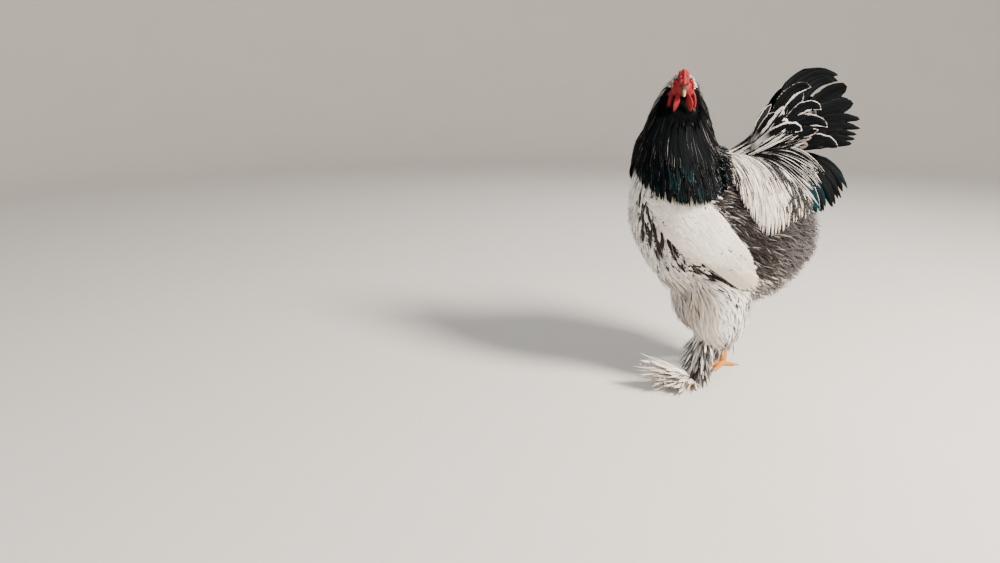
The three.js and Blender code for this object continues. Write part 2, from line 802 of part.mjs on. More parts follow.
// Legs. The left leg stands forward and the right leg back.
// Thigh sections: [z, centre x, centre y, half width, half depth].
const LEGS = {
  left: {
    side: 1,
    hockY: -38,
    footX: 50,
    footY: -46,
    heading: 4,
    fan: 1,
    thigh: [
      [300, 60, -14, 54, 72],
      [245, 66, -16, 59, 74],
      [200, 66, -17, 57, 68],
      [150, 63, -18, 51, 61],
      [124, 60, -11, 42, 48],
      [104, 58, -6, 26, 28],
    ],
  },
  right: {
    side: -1,
    hockY: 56,
    footX: 48,
    footY: 45,
    heading: -12,
    fan: 0.64,
    thigh: [
      [300, 60, -6, 54, 80],
      [245, 64, -5, 57, 84],
      [195, 63, -2, 55, 85],
      [150, 60, 6, 49, 84],
      [119, 57, 10, 42, 74],
      [98, 55, 14, 26, 44],
    ],
  },
};

function thigh({ side, thigh: sections }, grow = 0) {
  const AROUND = 16;
  const STEPS = 7;
  const rows = smoothRows(sections);
  const [first, final] = [sections[0], sections[sections.length - 1]];
  const rings = Array.from({ length: STEPS }, (_, i) => {
    const [z, x, y, wide, deep] = rows(mix(first[0], final[0], Math.sin((Math.PI * i) / (STEPS - 1) / 2)));
    return Array.from({ length: AROUND }, (_, k) => {
      const a = (k * 2 * Math.PI) / AROUND;
      return at(side * (x + (wide + grow) * Math.cos(a)), y + (deep + grow) * Math.sin(a), z);
    });
  });
  const end = ([z, x, y], rise) => at(side * x, y, z + rise);
  return ringSolid(rings, end(first, 18 + grow), end(final, -10 - grow));
}

// Shank feathers: [height of the root, angle from straight ahead to the outside, length].
const SHANK_FEATHERS = [
  [92, 8, 50],
  [90, 48, 52],
  [88, 90, 48],
  [71, 24, 44],
  [68, 70, 44],
];

/** The line down the middle of a shank, t from the hock to the foot. */
function shankLine({ side, hockY, footX, footY }, t) {
  return at(mix(side * 58, side * footX, t), mix(hockY, footY, t), mix(135, 9, t));
}

function shankFeather(leg, [height, angle, long]) {
  const a = turn(leg.side * angle);
  const out = at(Math.sin(a), -Math.cos(a), 0);
  const across = at(-out.y, out.x, 0);
  const spot = (t, aside) => {
    const drop = long * 0.72 * t;
    const reach = 3 + long * 0.68 * t * (1 - 0.25 * t);
    const origin = shankLine(leg, (135 - height + drop) / 126);
    return origin.addScaledVector(out, reach).addScaledVector(across, aside);
  };
  return feather(spot, { half: 9, thick: 0.8, outline: SHORT, tilt: 0.8 });
}

function shank(leg, grow = 0) {
  const stations = [
    [-0.04, 0],
    [0, 9.5],
    [0.3, 8.5],
    [0.7, 7.8],
    [0.93, 9],
    [0.99, 5],
    [1, 0],
  ].map(([t, radius]) => ({
    centre: shankLine(leg, t).setZ(mix(135, 9 - grow, t)),
    across: at(1, 0, 0),
    up: at(0, 1, 0),
    wide: radius ? radius + grow : 0,
    high: radius ? radius * 1.15 + grow : 0,
  }));
  return limb(stations, 10);
}

// Toes in order: [angle from the foot's heading towards the outside, length, root radius].
const TOES = [
  [-158, 30, 5.5],
  [-38, 50, 6.4],
  [0, 70, 6.8],
  [38, 56, 6.2],
];
const SOLE_SINK = 2.2; // how much of each round toe the floor's plane takes off
const CLAW_LONG = 15;

/** A point beside a foot: how far out along a toe, and how high. */
function toePoint({ side, footX, footY, heading }, toe, out, z) {
  const a = turn(side * (heading + TOES[toe][0]));
  return at(side * footX + out * Math.sin(a), footY - out * Math.cos(a), z);
}

function toeForm(leg, toe) {
  const [, long, radius] = TOES[toe];
  const middle = radius - SOLE_SINK;
  const swell = [0, 1, 0.94, 0.98, 0.8, 0];
  const a = turn(leg.side * (leg.heading + TOES[toe][0]));
  const stations = swell.map((share, i) => {
    const t = i / (swell.length - 1);
    const size = radius * share * mix(1, 0.82, t);
    return {
      centre: toePoint(leg, toe, mix(-4, long, t), mix(middle + 1, radius * 0.5, t)),
      across: at(Math.cos(a), Math.sin(a), 0),
      up: at(0, 0, 1),
      wide: size,
      high: size,
    };
  });
  return limb(stations, 8);
}

function claw(leg, toe, grow = 0) {
  const [, long, radius] = TOES[toe];
  const a = turn(leg.side * (leg.heading + TOES[toe][0]));
  const bend = [0, 0.15, 0.4, 0.7, 1];
  const stations = bend.map((t) => {
    const z = mix(radius * 0.55, 1.6, t) + 2.4 * Math.sin(Math.PI * t);
    const size = t === 0 || t === 1 ? 0 : mix(3, 1, t) + grow;
    return {
      centre: toePoint(leg, toe, long - 4 + CLAW_LONG * t + grow * (2 * t - 1), z),
      across: at(Math.cos(a), Math.sin(a), 0),
      up: at(0, 0, 1),
      wide: size * 0.85,
      high: size,
    };
  });
  return limb(stations, 6);
}

const below = solidOf(new THREE.BoxGeometry(900, 900, 100).translate(0, 0, -50));

// Foot feathers on the outer side, lowest first:
// [start along the middle toe, angle outwards, rise, length].
const FOOT_FEATHERS = [
  [4, 70, 3, 70],
  [10, 46, 2, 96],
  [18, 26, 3, 108],
  [26, 8, 5, 112],
  [8, 28, 15, 124],
  [12, 9, 19, 138],
  [2, 34, 27, 108],
  [4, 13, 29, 146],
];

function footFeather(leg, [start, angle, rise, long], reach) {
  const origin = toePoint(leg, 2, start, 10);
  const a = turn(leg.side * (leg.heading + TOES[2][0] + angle));
  const flat = at(Math.sin(a), -Math.cos(a), 0);
  const roll = turn(22 + rise);
  const across = at(-flat.y, flat.x, 0).multiplyScalar(leg.side * Math.cos(roll)).setZ(-Math.sin(roll));
  const spot = (t, aside) => {
    const out = long * reach * t;
    const lift = out * Math.tan(turn(rise)) * (1 - 0.25 * t);
    const place = origin.clone().addScaledVector(flat, out).addScaledVector(across, aside);
    return place.setZ(place.z + lift - 3 * (1 - t));
  };
  return feather(spot, { half: 9.5, thick: 0.8, outline: SPREAD, tilt: 1 });
}

function foot(leg) {
  const pad = ball(at(leg.side * leg.footX, leg.footY, 7), at(11, 12, 8.5), null, [10, 6]);
  const toes = TOES.map((_, toe) => toeForm(leg, toe));
  const cuffPlace = toePoint({ ...leg, heading: leg.heading + 34 }, 2, 12, 13);
  const cuff = ball(cuffPlace, at(14, 16, 8), null, [8, 6]);
  const feathers = FOOT_FEATHERS.map((row) => footFeather(leg, row, leg.fan * (1 + vary(0.06))));
  return fuse([pad, cuff, ...toes, ...feathers]).subtract(below);
}

// Materials.
const material = (color, roughness, metalness = 0) =>
  new THREE.MeshStandardMaterial({ color, roughness, metalness });
const FINISH = {
  white: material(0xe9e4db, 0.85),
  grey: material(0x8d8780, 0.9),
  black: material(0x15171a, 0.45),
  skin: material(0xb3202a, 0.5),
  horn: material(0xcaa25c, 0.4),
  eye: material(0x8a4a16, 0.1),
  scale: material(0xe0a04a, 0.5),
};

// Assembly: each piece gives way to the ones that it lies against.
const bird = new THREE.Group();
const place = (name, solid, finish) => {
  const mesh = new THREE.Mesh(geometryOf(solid), finish);
  mesh.name = name;
  bird.add(mesh);
};

const SIDES = [
  ["left", 1],
  ["right", -1],
];
const bodySpace = torso(GAP);
const headSpace = skull(GAP);
const beakSpace = [upperBeak(GAP), lowerBeak(GAP)];
const faceSkin = SIDES.flatMap(([, side]) => [wattle(side, GAP), earlobe(side, GAP), eye(side, 3)]);
const saddleSpace = saddleForm(0, 0, GAP);
const wingSpace = { left: wingSpaceOf(3 * GAP), right: mirrored(wingSpaceOf(3 * GAP)) };

place("torso", torso(), FINISH.white);
place("head", head(), FINISH.skin);
place("comb", clearOf(comb(), headSpace, beakSpace[0]), FINISH.skin);
place("beak_upper", clearOf(upperBeak(), headSpace), FINISH.horn);
place("beak_lower", clearOf(lowerBeak(), headSpace), FINISH.horn);
const lyingUnder = [bodySpace, saddleSpace, wingSpace.left, wingSpace.right];
place("neck", clearOf(neck(), ...lyingUnder, headSpace, ...beakSpace, ...faceSkin), FINISH.black);
place("saddle", clearOf(saddle(), bodySpace, wingSpace.left, wingSpace.right), FINISH.white);
place("tail", clearOf(tail(), bodySpace, saddleSpace), FINISH.black);
const leftWing = clearOf(wing(), bodySpace);
for (const [name, side] of SIDES) {
  place(`eye_${name}`, eye(side), FINISH.eye);
  place(`wattle_${name}`, clearOf(wattle(side), headSpace, ...beakSpace), FINISH.skin);
  place(`earlobe_${name}`, clearOf(earlobe(side), headSpace), FINISH.skin);
  place(`wing_${name}`, side > 0 ? leftWing : mirrored(leftWing), FINISH.white);
  const leg = LEGS[name];
  const claws = TOES.map((_, toe) => claw(leg, toe, GAP));
  place(`thigh_${name}`, clearOf(thigh(leg), bodySpace, wingSpace[name]), FINISH.white);
  const fringed = fuse([shank(leg), ...SHANK_FEATHERS.map((row) => shankFeather(leg, row))]);
  place(`shank_${name}`, clearOf(fringed, thigh(leg, GAP)), FINISH.grey);
  place(`foot_${name}`, clearOf(foot(leg), shank(leg, GAP), ...claws), FINISH.scale);
  TOES.forEach((_, toe) => place(`claw_${name}_${toe + 1}`, claw(leg, toe), FINISH.horn));
}

// The origin is at the middle of the base.
const bounds = new THREE.Box3().setFromObject(bird);
const middle = bounds.getCenter(at(0, 0, 0));
bird.children.forEach((mesh) => mesh.geometry.translate(-middle.x, -middle.y, 0));

export default bird;
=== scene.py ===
"""A life-size still model of a brahma cock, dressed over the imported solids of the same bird.

Lengths in the tables are millimetres in the bird's own axes: x to its left, y to its back and z up
from the floor. The meshes are in metres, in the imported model's frame.
"""

import logging
import math
from collections import defaultdict
from collections.abc import Callable, Iterator, Sequence
from contextlib import contextmanager
from dataclasses import dataclass, field
from enum import Enum

import bpy
import numpy as np
from mathutils import Matrix, Vector
from mathutils.bvhtree import BVHTree
from mathutils.kdtree import KDTree


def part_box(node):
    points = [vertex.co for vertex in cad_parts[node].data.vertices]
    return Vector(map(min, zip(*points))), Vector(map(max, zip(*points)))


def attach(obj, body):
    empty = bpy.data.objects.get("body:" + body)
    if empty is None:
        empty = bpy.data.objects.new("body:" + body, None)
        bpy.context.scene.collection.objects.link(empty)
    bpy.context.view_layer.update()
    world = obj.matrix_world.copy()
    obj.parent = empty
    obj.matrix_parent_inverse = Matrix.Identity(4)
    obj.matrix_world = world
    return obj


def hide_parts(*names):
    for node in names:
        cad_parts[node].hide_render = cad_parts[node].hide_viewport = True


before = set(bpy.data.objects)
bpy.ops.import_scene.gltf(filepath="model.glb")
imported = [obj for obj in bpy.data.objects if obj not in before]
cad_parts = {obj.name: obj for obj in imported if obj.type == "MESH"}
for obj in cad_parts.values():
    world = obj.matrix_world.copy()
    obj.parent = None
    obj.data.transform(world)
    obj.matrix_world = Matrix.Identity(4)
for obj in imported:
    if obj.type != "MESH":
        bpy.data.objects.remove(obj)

LOG = logging.getLogger("brahma")
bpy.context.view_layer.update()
MM = 0.001
BREAST_Y = -204.0
SHIFT_Y = BREAST_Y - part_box("torso")[0].y / MM
TO_FRAME = Matrix.Scale(MM, 4) @ Matrix.Translation((0, -SHIFT_Y, 0))
PATCH = 0.003  # how wide one feather's patch is on the bake's unwrap
LONGEST = 200  # the length that the coat's kept lengths are a share of
BODY_SEARCH = 0.001  # metres round a point of the head in which the body's surface is looked for
BODY_TOUCH = 0.0002  # metres within which such a point lies on that surface
SHANK_PLATE = 4.4  # how high one horny plate of the shank is
TOE_PLATE = 3.6  # how long one horny plate of a toe is
# The axes of a form whose stations run up, and of one whose stations run to the back.
UPRIGHT = Matrix.Identity(4)
LENGTHWISE = Matrix(((1, 0, 0, 0), (0, 0, 1, 0), (0, 1, 0, 0), (0, 0, 0, 1)))
Array = np.ndarray
Rows = Sequence[Sequence[float]]
Chance = np.random.Generator
Form = bpy.types.Object
Socket = bpy.types.NodeSocket


def framed(points: Array) -> Array:
    """Points in the bird's millimetres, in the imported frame's metres."""
    return (np.asarray(points, float) - (0.0, SHIFT_Y, 0.0)) * MM


def linear(colour: str) -> tuple[float, float, float]:
    """An sRGB hex colour as linear light."""
    parts = [int(colour[i:i + 2], 16) / 255 for i in (1, 3, 5)]
    return tuple(c / 12.92 if c <= 0.04045 else ((c + 0.055) / 1.055) ** 2.4 for c in parts)


def opaque(colour: str) -> tuple[float, float, float, float]:
    """An sRGB hex colour as linear light, with full alpha."""
    return (*linear(colour), 1)


def mix(a: Array | float, b: Array | float, t: Array | float) -> Array:
    """The value a share t of the way from a to b."""
    return a + (b - a) * t


def ramp(value: Array | float, low: float, high: float) -> Array:
    """A smooth step from 0 at low to 1 at high."""
    t = np.clip((np.asarray(value, float) - low) / (high - low), 0, 1)
    return t * t * (3 - 2 * t)


def plated(where: Array, size: float) -> Array:
    """The swell of horny plates of one size: near 1 on each plate and 0 in the joints."""
    return np.abs(np.sin(np.pi * where / size)) ** 0.35


def turn_between(a: Array | float, b: Array | float) -> Array:
    """The angle between two headings, from 0 to 180 degrees."""
    return np.abs((a - b + 180) % 360 - 180)


def vec(*parts: Array | float) -> Array:
    """Points from their coordinates, which may be arrays that broadcast."""
    return np.stack(np.broadcast_arrays(*[np.asarray(p, float) for p in parts]), -1)


def unit(v: Array) -> Array:
    """Vectors at length 1."""
    return v / np.maximum(np.linalg.norm(v, axis=-1, keepdims=True), 1e-9)


def smooth_rows(rows: Rows) -> Callable[[Array], Array]:
    """A smooth curve through rows of numbers, read by the first number of each row.

    Args:
        rows: the rows, rising or falling in their first number.

    Returns:
        A function from places to rows, the columns along the last axis.
    """
    table = np.array(rows, float)
    last = len(table) - 1
    keys = table[:, 0] * (1.0 if table[-1, 0] > table[0, 0] else -1.0)
    rising = keys[0] / table[0, 0] if table[0, 0] else (1.0 if table[-1, 0] > 0 else -1.0)
    order = np.arange(last + 1)
    before, after = table[np.maximum(order - 1, 0)], table[np.minimum(order + 1, last)]
    slope = (after - before) / (after[:, :1] - before[:, :1])

    def read(where: Array) -> Array:
        """The row at each place."""
        where = np.asarray(where, float)
        i = np.clip(np.searchsorted(keys, where * rising) - 1, 0, last - 1)
        a, b = table[i], table[i + 1]
        span = (b - a)[..., :1]
        t = np.clip((where[..., None] - a[..., :1]) / span, 0, 1)
        bend = t * (1 - t) ** 2 * slope[i] - t ** 2 * (1 - t) * slope[i + 1]
        return a + (b - a) * t * t * (3 - 2 * t) + span * bend

    return read


def columns(rows: Array) -> list[Array]:
    """The columns of rows, each as its own array."""
    return list(np.moveaxis(rows, -1, 0))


# ---------------------------------------------------------------------------- the bird's form


@dataclass(frozen=True)
class BirdForm:
    """The surfaces that the skin and every feather are laid out on, in the bird's millimetres."""

    squareness: float = 2.4
    # From breast to rump: [y, top z, bottom z, half width].
    torso_rows: Rows = (
        (-197, 455, 345, 44), (-180, 482, 306, 76), (-150, 500, 254, 102), (-116, 508, 222, 116),
        (-70, 510, 202, 126), (-20, 508, 190, 130), (30, 503, 184, 131), (75, 492, 190, 126),
        (115, 470, 208, 114), (150, 436, 243, 93), (180, 396, 276, 62),
    )
    # The hackle from the crown down: [z, centre x, centre y, half width, half depth].
    cape_rows: Rows = (
        (668, -18, -102, 14, 19), (654, -18, -102, 26, 31), (638, -18, -104, 33, 39),
        (618, -17, -106, 39, 49), (597, -12, -107, 47, 58), (577, -6, -109, 58, 64),
        (556, -2, -111, 69, 71), (534, 0, -113, 82, 81), (512, 0, -110, 95, 89),
        (470, 0, -106, 118, 97), (440, 0, -104, 131, 99), (415, 0, -103, 139, 100),
    )
    # How low the hackle reaches: [angle round the neck, z].
    hem_rows: Rows = ((-90, 490), (-50, 436), (0, 422), (40, 444), (65, 488), (90, 512))
    # The folded wing: [along, lower edge, upper edge, thickness over the flank].
    wing_rows: Rows = (
        (-12, -16, 10, 7), (10, -28, 40, 12), (40, -43, 66, 14), (80, -50, 82, 14),
        (118, -46, 75, 13), (150, -38, 64, 12), (185, -30, 58, 11), (220, -24, 54, 10),
        (245, -20, 45, 9), (266, -17, 36, 8), (280, -9, 20, 6),
    )
    wing_shoulder: tuple[float, float] = (-178, 425)
    wing_tip: tuple[float, float] = (32, 232)
    wing_span: tuple[float, float] = (-12, 280)
    torso_span: tuple[float, float] = (-197, 180)
    cape_top: float = 666
    # The saddle from front to back: [y, hem z, thickness].
    saddle_rows: Rows = (
        (-34, 470, 5), (-20, 448, 8), (0, 405, 10), (20, 378, 11), (43, 351, 11),
        (73, 354, 11), (107, 374, 11), (140, 378, 10), (165, 390, 8),
    )

    def __post_init__(self) -> None:
        """Makes the smooth curves through the tables once."""
        for name in ("torso", "cape", "hem", "wing", "saddle"):
            object.__setattr__(self, name, smooth_rows(getattr(self, f"{name}_rows")))
        way = np.subtract(self.wing_tip, self.wing_shoulder)
        object.__setattr__(self, "wing_long", float(np.hypot(*way)))
        object.__setattr__(self, "wing_way", way / np.hypot(*way))

    def torso_point(self, y: Array, degrees: Array, grow: Array | float = 0) -> Array:
        """A point on the torso, at an angle that is 0 on the left and 90 on the back."""
        _, top, bottom, half = columns(self.torso(y))
        power = 2 / self.squareness
        c, s = np.cos(np.radians(degrees)), np.sin(np.radians(degrees))
        x = (half + grow) * np.sign(c) * np.abs(c) ** power
        rise = ((top - bottom) / 2 + grow) * np.sign(s) * np.abs(s) ** power
        return vec(x, y, (top + bottom) / 2 + rise)

    def flank_x(self, y: Array, z: Array) -> Array:
        """The torso's half width at a place on its side."""
        _, top, bottom, half = columns(self.torso(np.clip(y, *self.torso_span)))
        rise = np.abs(z - (top + bottom) / 2) / ((top - bottom) / 2)
        return half * np.maximum(1 - rise ** self.squareness, 0) ** (1 / self.squareness)

    def wing_point(self, along: Array, across: Array, lift: Array) -> Array:
        """A point over the left flank, from a place on the folded wing."""
        (wy, wz), (sy, sz) = self.wing_way, self.wing_shoulder
        y = sy + along * wy - across * wz
        z = sz + along * wz + across * wy
        spread = 12 * ramp(along, 170, self.wing_long)
        return vec(self.flank_x(y, z) + lift + spread, y, z)

    def wing_top(self, along: Array, across: Array) -> Array:
        """How far the wing's outer face stands off the flank."""
        _, low, high, deep = columns(self.wing(np.clip(along, *self.wing_span)))
        share = np.clip((across - low) / (high - low), 0, 1)
        return 4 + (deep - 4) * np.sin(np.pi * share) ** 0.35

    def wing_place(self, y: Array, z: Array) -> tuple[Array, Array, Array]:
        """How far outside the wing's outline a place on the flank is, and its place on the wing."""
        (wy, wz), (sy, sz) = self.wing_way, self.wing_shoulder
        dy, dz = y - sy, z - sz
        along, across = dy * wy + dz * wz, dz * wy - dy * wz
        _, low, high, _ = columns(self.wing(np.clip(along, *self.wing_span)))
        edges = [low - across, across - high, self.wing_span[0] - along,
                 along - self.wing_span[1]]
        return np.maximum.reduce(edges), along, across

    def wing_cover(self, y: Array, z: Array) -> Array:
        """How far anything that lies over the wing has to stand off the flank."""
        outside, along, _ = self.wing_place(y, z)
        deep = self.wing(np.clip(along, *self.wing_span))[..., 3]
        return deep * (1 - ramp(np.maximum(outside, 0), 3, 16))

    def saddle_point(self, y: Array, share: Array, below: Array) -> Array:
        """A point on the saddle, with share 0 on the ridge and 1 at the left hem."""
        _, hem, deep = columns(self.saddle(y))
        _, top, bottom, _ = columns(self.torso(y))
        rise = np.clip((hem - (top + bottom) / 2) / ((top - bottom) / 2), -1, 1)
        end = np.degrees(np.arcsin(np.sign(rise) * np.abs(rise) ** (self.squareness / 2)))
        angle = mix(90, end, share)
        flank_z = self.torso_point(y, angle)[..., 2]
        over = np.maximum(deep, self.wing_cover(y, flank_z) + 5)
        face = over * (1 - np.minimum(np.abs(share), 1) ** 12) + 1.5 + 5 * ramp(share, 0.9, 1.1)
        return self.torso_point(y, angle, face - below)

    def hem_z(self, degrees: Array) -> Array:
        """How low the hackle reaches at an angle, the same on both sides."""
        wrapped = (degrees + 90) % 360 - 90
        return self.hem(np.where(wrapped > 90, 180 - wrapped, wrapped))[..., 1]

    def hackle_point(self, share: Array, degrees: Array, lift: Array) -> Array:
        """A point on the fall of the hackle, with share 0 at the crown and 1 at the hem."""
        z = mix(self.cape_top, self.hem_z(degrees), share)
        _, x, y, half, deep = columns(self.cape(z))
        a = np.radians(degrees)
        back = np.maximum(np.sin(a), 0) ** 2
        y = y + (deep + lift) * np.sin(a) + 12 * back * ramp(share, 0.7, 1.05)
        return self.laid_over(vec(x + (half + lift) * np.cos(a), y, z), 5 + lift * 0.5)

    def laid_over(self, points: Array, above: Array) -> Array:
        """The points moved out to keep a distance from the torso and all that lies on it."""
        x, y, z = columns(points)
        held = np.clip(y, *self.torso_span)
        _, top, bottom, half = columns(self.torso(held))
        middle, n = (top + bottom) / 2, self.squareness
        dx, dz = np.abs(x), z - middle
        share = ((dx / half) ** n + (np.abs(dz) / ((top - bottom) / 2)) ** n) ** (1 / n)
        reach = np.maximum(np.hypot(dx, dz), 1e-6)
        saddle = np.where(held > -42, self.saddle(np.maximum(held, -34))[..., 2] + 2, 0)
        need = reach / np.maximum(share, 1e-6) + above
        need = need + np.maximum(self.wing_cover(held, z), saddle)
        scale = np.where(y == held, np.maximum(need / reach, 1), 1)
        return vec(x * scale, y, middle + dz * scale)


BIRD = BirdForm()

HEAD_CENTRE = Vector((10, -110, 646))
HEAD_YAW = 79  # turned to the left of straight ahead
HEAD_PITCH = 11  # beak below level
HEAD_AXES = (
    Matrix.Translation(HEAD_CENTRE)
    @ Matrix.Rotation(math.radians(HEAD_YAW - 90), 4, "Z")
    @ Matrix.Rotation(math.radians(HEAD_PITCH), 4, "Y")
)
HEAD_TURN = np.array(HEAD_AXES.to_3x3())
# From a loft's axes, with its stations along z, to the head's, with the beak along x.
ALONG_BEAK = Matrix(((0, 0, 1, 0), (1, 0, 0, 0), (0, 1, 0, 0), (0, 0, 0, 1)))


def head_point(forward: Array, side: Array, up: Array) -> Array:
    """A point from its place in the head's axes: along the beak, to its left, and up."""
    return out_of_head(vec(forward, side, up))


def out_of_head(local: Array) -> Array:
    """Points of the bird from places in the head's own axes."""
    return local @ HEAD_TURN.T + np.array(HEAD_CENTRE)


def in_head(points: Array) -> Array:
    """Points of the bird in the head's own axes."""
    return (points - np.array(HEAD_CENTRE)) @ HEAD_TURN


def eye_centre(side: int) -> tuple[float, float, float]:
    """The middle of an eyeball in the head's axes, 1 for the left one and -1 for the right."""
    return (9, side * 17.5, 5)


@dataclass(frozen=True)
class Leg:
    """One leg: how it stands, and its thigh's sections [z, x, y, half width, half depth]."""

    name: str
    side: int
    hock_y: float
    foot: tuple[float, float]
    heading: float  # degrees that the middle toe is turned outwards
    fan: float  # how long the plumes over the toes are, as a share of their full length
    thigh: Rows
    # Toes: [angle from the heading towards the outside, length, root radius].
    toes: Rows = ((-158, 30, 5.5), (-38, 50, 6.4), (0, 70, 6.8), (38, 56, 6.2))
    hock_x: float = 58
    hock_z: float = 135
    ankle_z: float = 9

    def shank(self, t: Array) -> Array:
        """The line down the middle of the shank, t from the hock to the foot."""
        x = mix(self.side * self.hock_x, self.side * self.foot[0], t)
        return vec(x, mix(self.hock_y, self.foot[1], t), mix(self.hock_z, self.ankle_z, t))

    def toe_way(self, toe: int) -> Array:
        """The level direction of a toe."""
        a = math.radians(self.side * (self.heading + self.toes[toe][0]))
        return np.array((math.sin(a), -math.cos(a), 0.0))

    def foot_point(self, z: float) -> Array:
        """The point over the middle of the foot at a height."""
        return np.array((self.side * self.foot[0], self.foot[1], z))

    def toe_axes(self, toe: int) -> Matrix:
        """The axes of a form whose stations run out along a toe."""
        x, y, _ = self.toe_way(toe)
        foot_x, foot_y, _ = self.foot_point(0)
        return Matrix(((y, 0, x, foot_x), (-x, 0, y, foot_y), (0, 1, 0, 0), (0, 0, 0, 1)))


LEGS = (
    Leg("left", side=1, hock_y=-38, foot=(50, -46), heading=4, fan=1.0, thigh=(
        (300, 60, -14, 54, 72), (245, 66, -16, 59, 74), (200, 66, -17, 57, 68),
        (150, 63, -18, 51, 61), (124, 60, -11, 42, 48), (104, 58, -6, 26, 28),
    )),
    Leg("right", side=-1, hock_y=56, foot=(48, 45), heading=-12, fan=0.64, thigh=(
        (300, 60, -6, 54, 80), (245, 64, -5, 57, 84), (195, 63, -2, 55, 85),
        (150, 60, 6, 49, 84), (119, 57, 10, 42, 74), (98, 55, 14, 26, 44),
    )),
)


@dataclass(frozen=True)
class Lobe:
    """One pair of hanging lobes of skin: where their tops are on the head, and their size."""

    forward: float
    base: float
    up: float
    splay: float
    long: float
    wide: float
    thick: float

    def line(self, side: int) -> tuple[Array, Array]:
        """The points between which one lobe hangs."""
        top = head_point(self.forward, side * self.base, self.up)
        out = HEAD_TURN @ np.array((0, side, 0))
        return top, top + (out[0] * self.splay, out[1] * self.splay, -self.long)


WATTLE = Lobe(forward=23, base=9.5, up=-8, splay=7.5, long=38, wide=9.2, thick=3.2)
EARLOBE = Lobe(forward=1, base=21, up=-5, splay=6, long=43, wide=5.8, thick=3.4)

# ---------------------------------------------------------------------------- modelling by hand


def select(*forms: Form) -> None:
    """Selects just these forms, with the first one active, or nothing."""
    bpy.ops.object.select_all(action="DESELECT")
    for form in forms:
        form.select_set(True)
    if forms:
        bpy.context.view_layer.objects.active = forms[0]


@contextmanager
def editing() -> Iterator[None]:
    """Edit mode on the active form, with all of it selected."""
    bpy.ops.object.mode_set(mode="EDIT")
    bpy.ops.mesh.select_all(action="SELECT")
    yield
    bpy.ops.object.mode_set(mode="OBJECT")


def linked(name: str, data: bpy.types.ID) -> Form:
    """A new object of the scene."""
    made = bpy.data.objects.new(name, data)
    bpy.context.scene.collection.objects.link(made)
    return made


def gathered(items: bpy.types.bpy_prop_collection, key: str, each: int, kind: type) -> Array:
    """One property of many items, as an array with a row for each item."""
    values = np.empty(len(items) * each, kind)
    items.foreach_get(key, values)
    return values.reshape(-1, each)


def smooth_shaded(form: Form) -> None:
    """Lets a form's faces shade smoothly."""
    polygons = form.data.polygons
    polygons.foreach_set("use_smooth", np.ones(len(polygons), bool))


def place(form: Form, name: str, axes: Matrix) -> Form:
    """Names a form and puts its mesh, modelled in axes of its own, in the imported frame.

    Args:
        form: the object, modelled in millimetres.
        name: its name.
        axes: the matrix from its own axes to the bird's.

    Returns:
        The same object.
    """
    form.name = name
    form.data.name = name
    form.data.transform(TO_FRAME @ axes @ form.matrix_world)
    form.matrix_world = Matrix.Identity(4)
    with editing():
        bpy.ops.mesh.normals_make_consistent(inside=False)
    return form


def extruded(step: Sequence[float]) -> None:
    """Extrudes what is selected by a step."""
    bpy.ops.mesh.extrude_region_move(TRANSFORM_OT_translate={"value": step})


def loft(
    name: str, stations: Array | Rows, axes: Matrix = UPRIGHT, around: int = 24,
    squareness: float = 2
) -> Form:
    """A rounded form, extruded from a circle through its stations.

    Args:
        name: the object's name.
        stations: [x, y, z, half width, half height] of each section, in the form's own axes.
        axes: the matrix from those axes to the bird's.
        around: how many points a section has.
        squareness: 2 for round sections, more for boxier ones.

    Returns:
        The closed form.
    """
    select()
    bpy.ops.mesh.primitive_circle_add(vertices=around, radius=1, fill_type="NGON")
    form = bpy.context.object
    for v in form.data.vertices:
        for k in (0, 1):
            v.co[k] = math.copysign(abs(v.co[k]) ** (2 / squareness), v.co[k])
    (x, y, z, wide, high), *others = np.asarray(stations, float).tolist()
    with editing():
        bpy.ops.transform.resize(value=(wide, high, 1), center_override=(0, 0, 0))
        bpy.ops.transform.translate(value=(x, y, z))
        for nx, ny, nz, nwide, nhigh in others:
            extruded((nx - x, ny - y, nz - z))
            grown = (nwide / wide, nhigh / high, 1)
            bpy.ops.transform.resize(value=grown, center_override=(nx, ny, nz))
            x, y, z, wide, high = nx, ny, nz, nwide, nhigh
    return place(form, name, axes)


def ball(
    name: str, centre: Sequence[float], sizes: Sequence[float], axes: Matrix = UPRIGHT,
    cuts: int = 20
) -> Form:
    """A ball drawn out to three half sizes, in its own axes."""
    select()
    bpy.ops.mesh.primitive_uv_sphere_add(segments=cuts, ring_count=cuts * 2 // 3, radius=1)
    form = bpy.context.object
    with editing():
        bpy.ops.transform.resize(value=sizes, center_override=(0, 0, 0))
        bpy.ops.transform.translate(value=centre)
    return place(form, name, axes)


def modified(form: Form, kind: str, **settings: object) -> Form:
    """The form with one modifier applied."""
    select(form)
    modifier = form.modifiers.new(kind.title(), kind)
    for key, value in settings.items():
        setattr(modifier, key, value)
    bpy.ops.object.modifier_apply(modifier=modifier.name)
    return form


def joined(name: str, forms: Sequence[Form]) -> Form:
    """One object from several."""
    select(*forms)
    bpy.ops.object.join()
    forms[0].name = name
    forms[0].data.name = name
    return forms[0]


def fused(name: str, forms: Sequence[Form], voxel: float, smoothing: int) -> Form:
    """One closed skin over several forms, remeshed at a voxel in millimetres and smoothed."""
    whole = joined(name, forms)
    modified(whole, "REMESH", mode="VOXEL", voxel_size=voxel * MM)
    return modified(whole, "SMOOTH", factor=0.5, iterations=smoothing)


def united(whole: Form, part: Form, way: str = "UNION") -> None:
    """Adds a closed part to a closed whole, or takes it away, and removes the part."""
    modified(whole, "BOOLEAN", operation=way, object=part, solver="MANIFOLD")
    bpy.data.objects.remove(part)


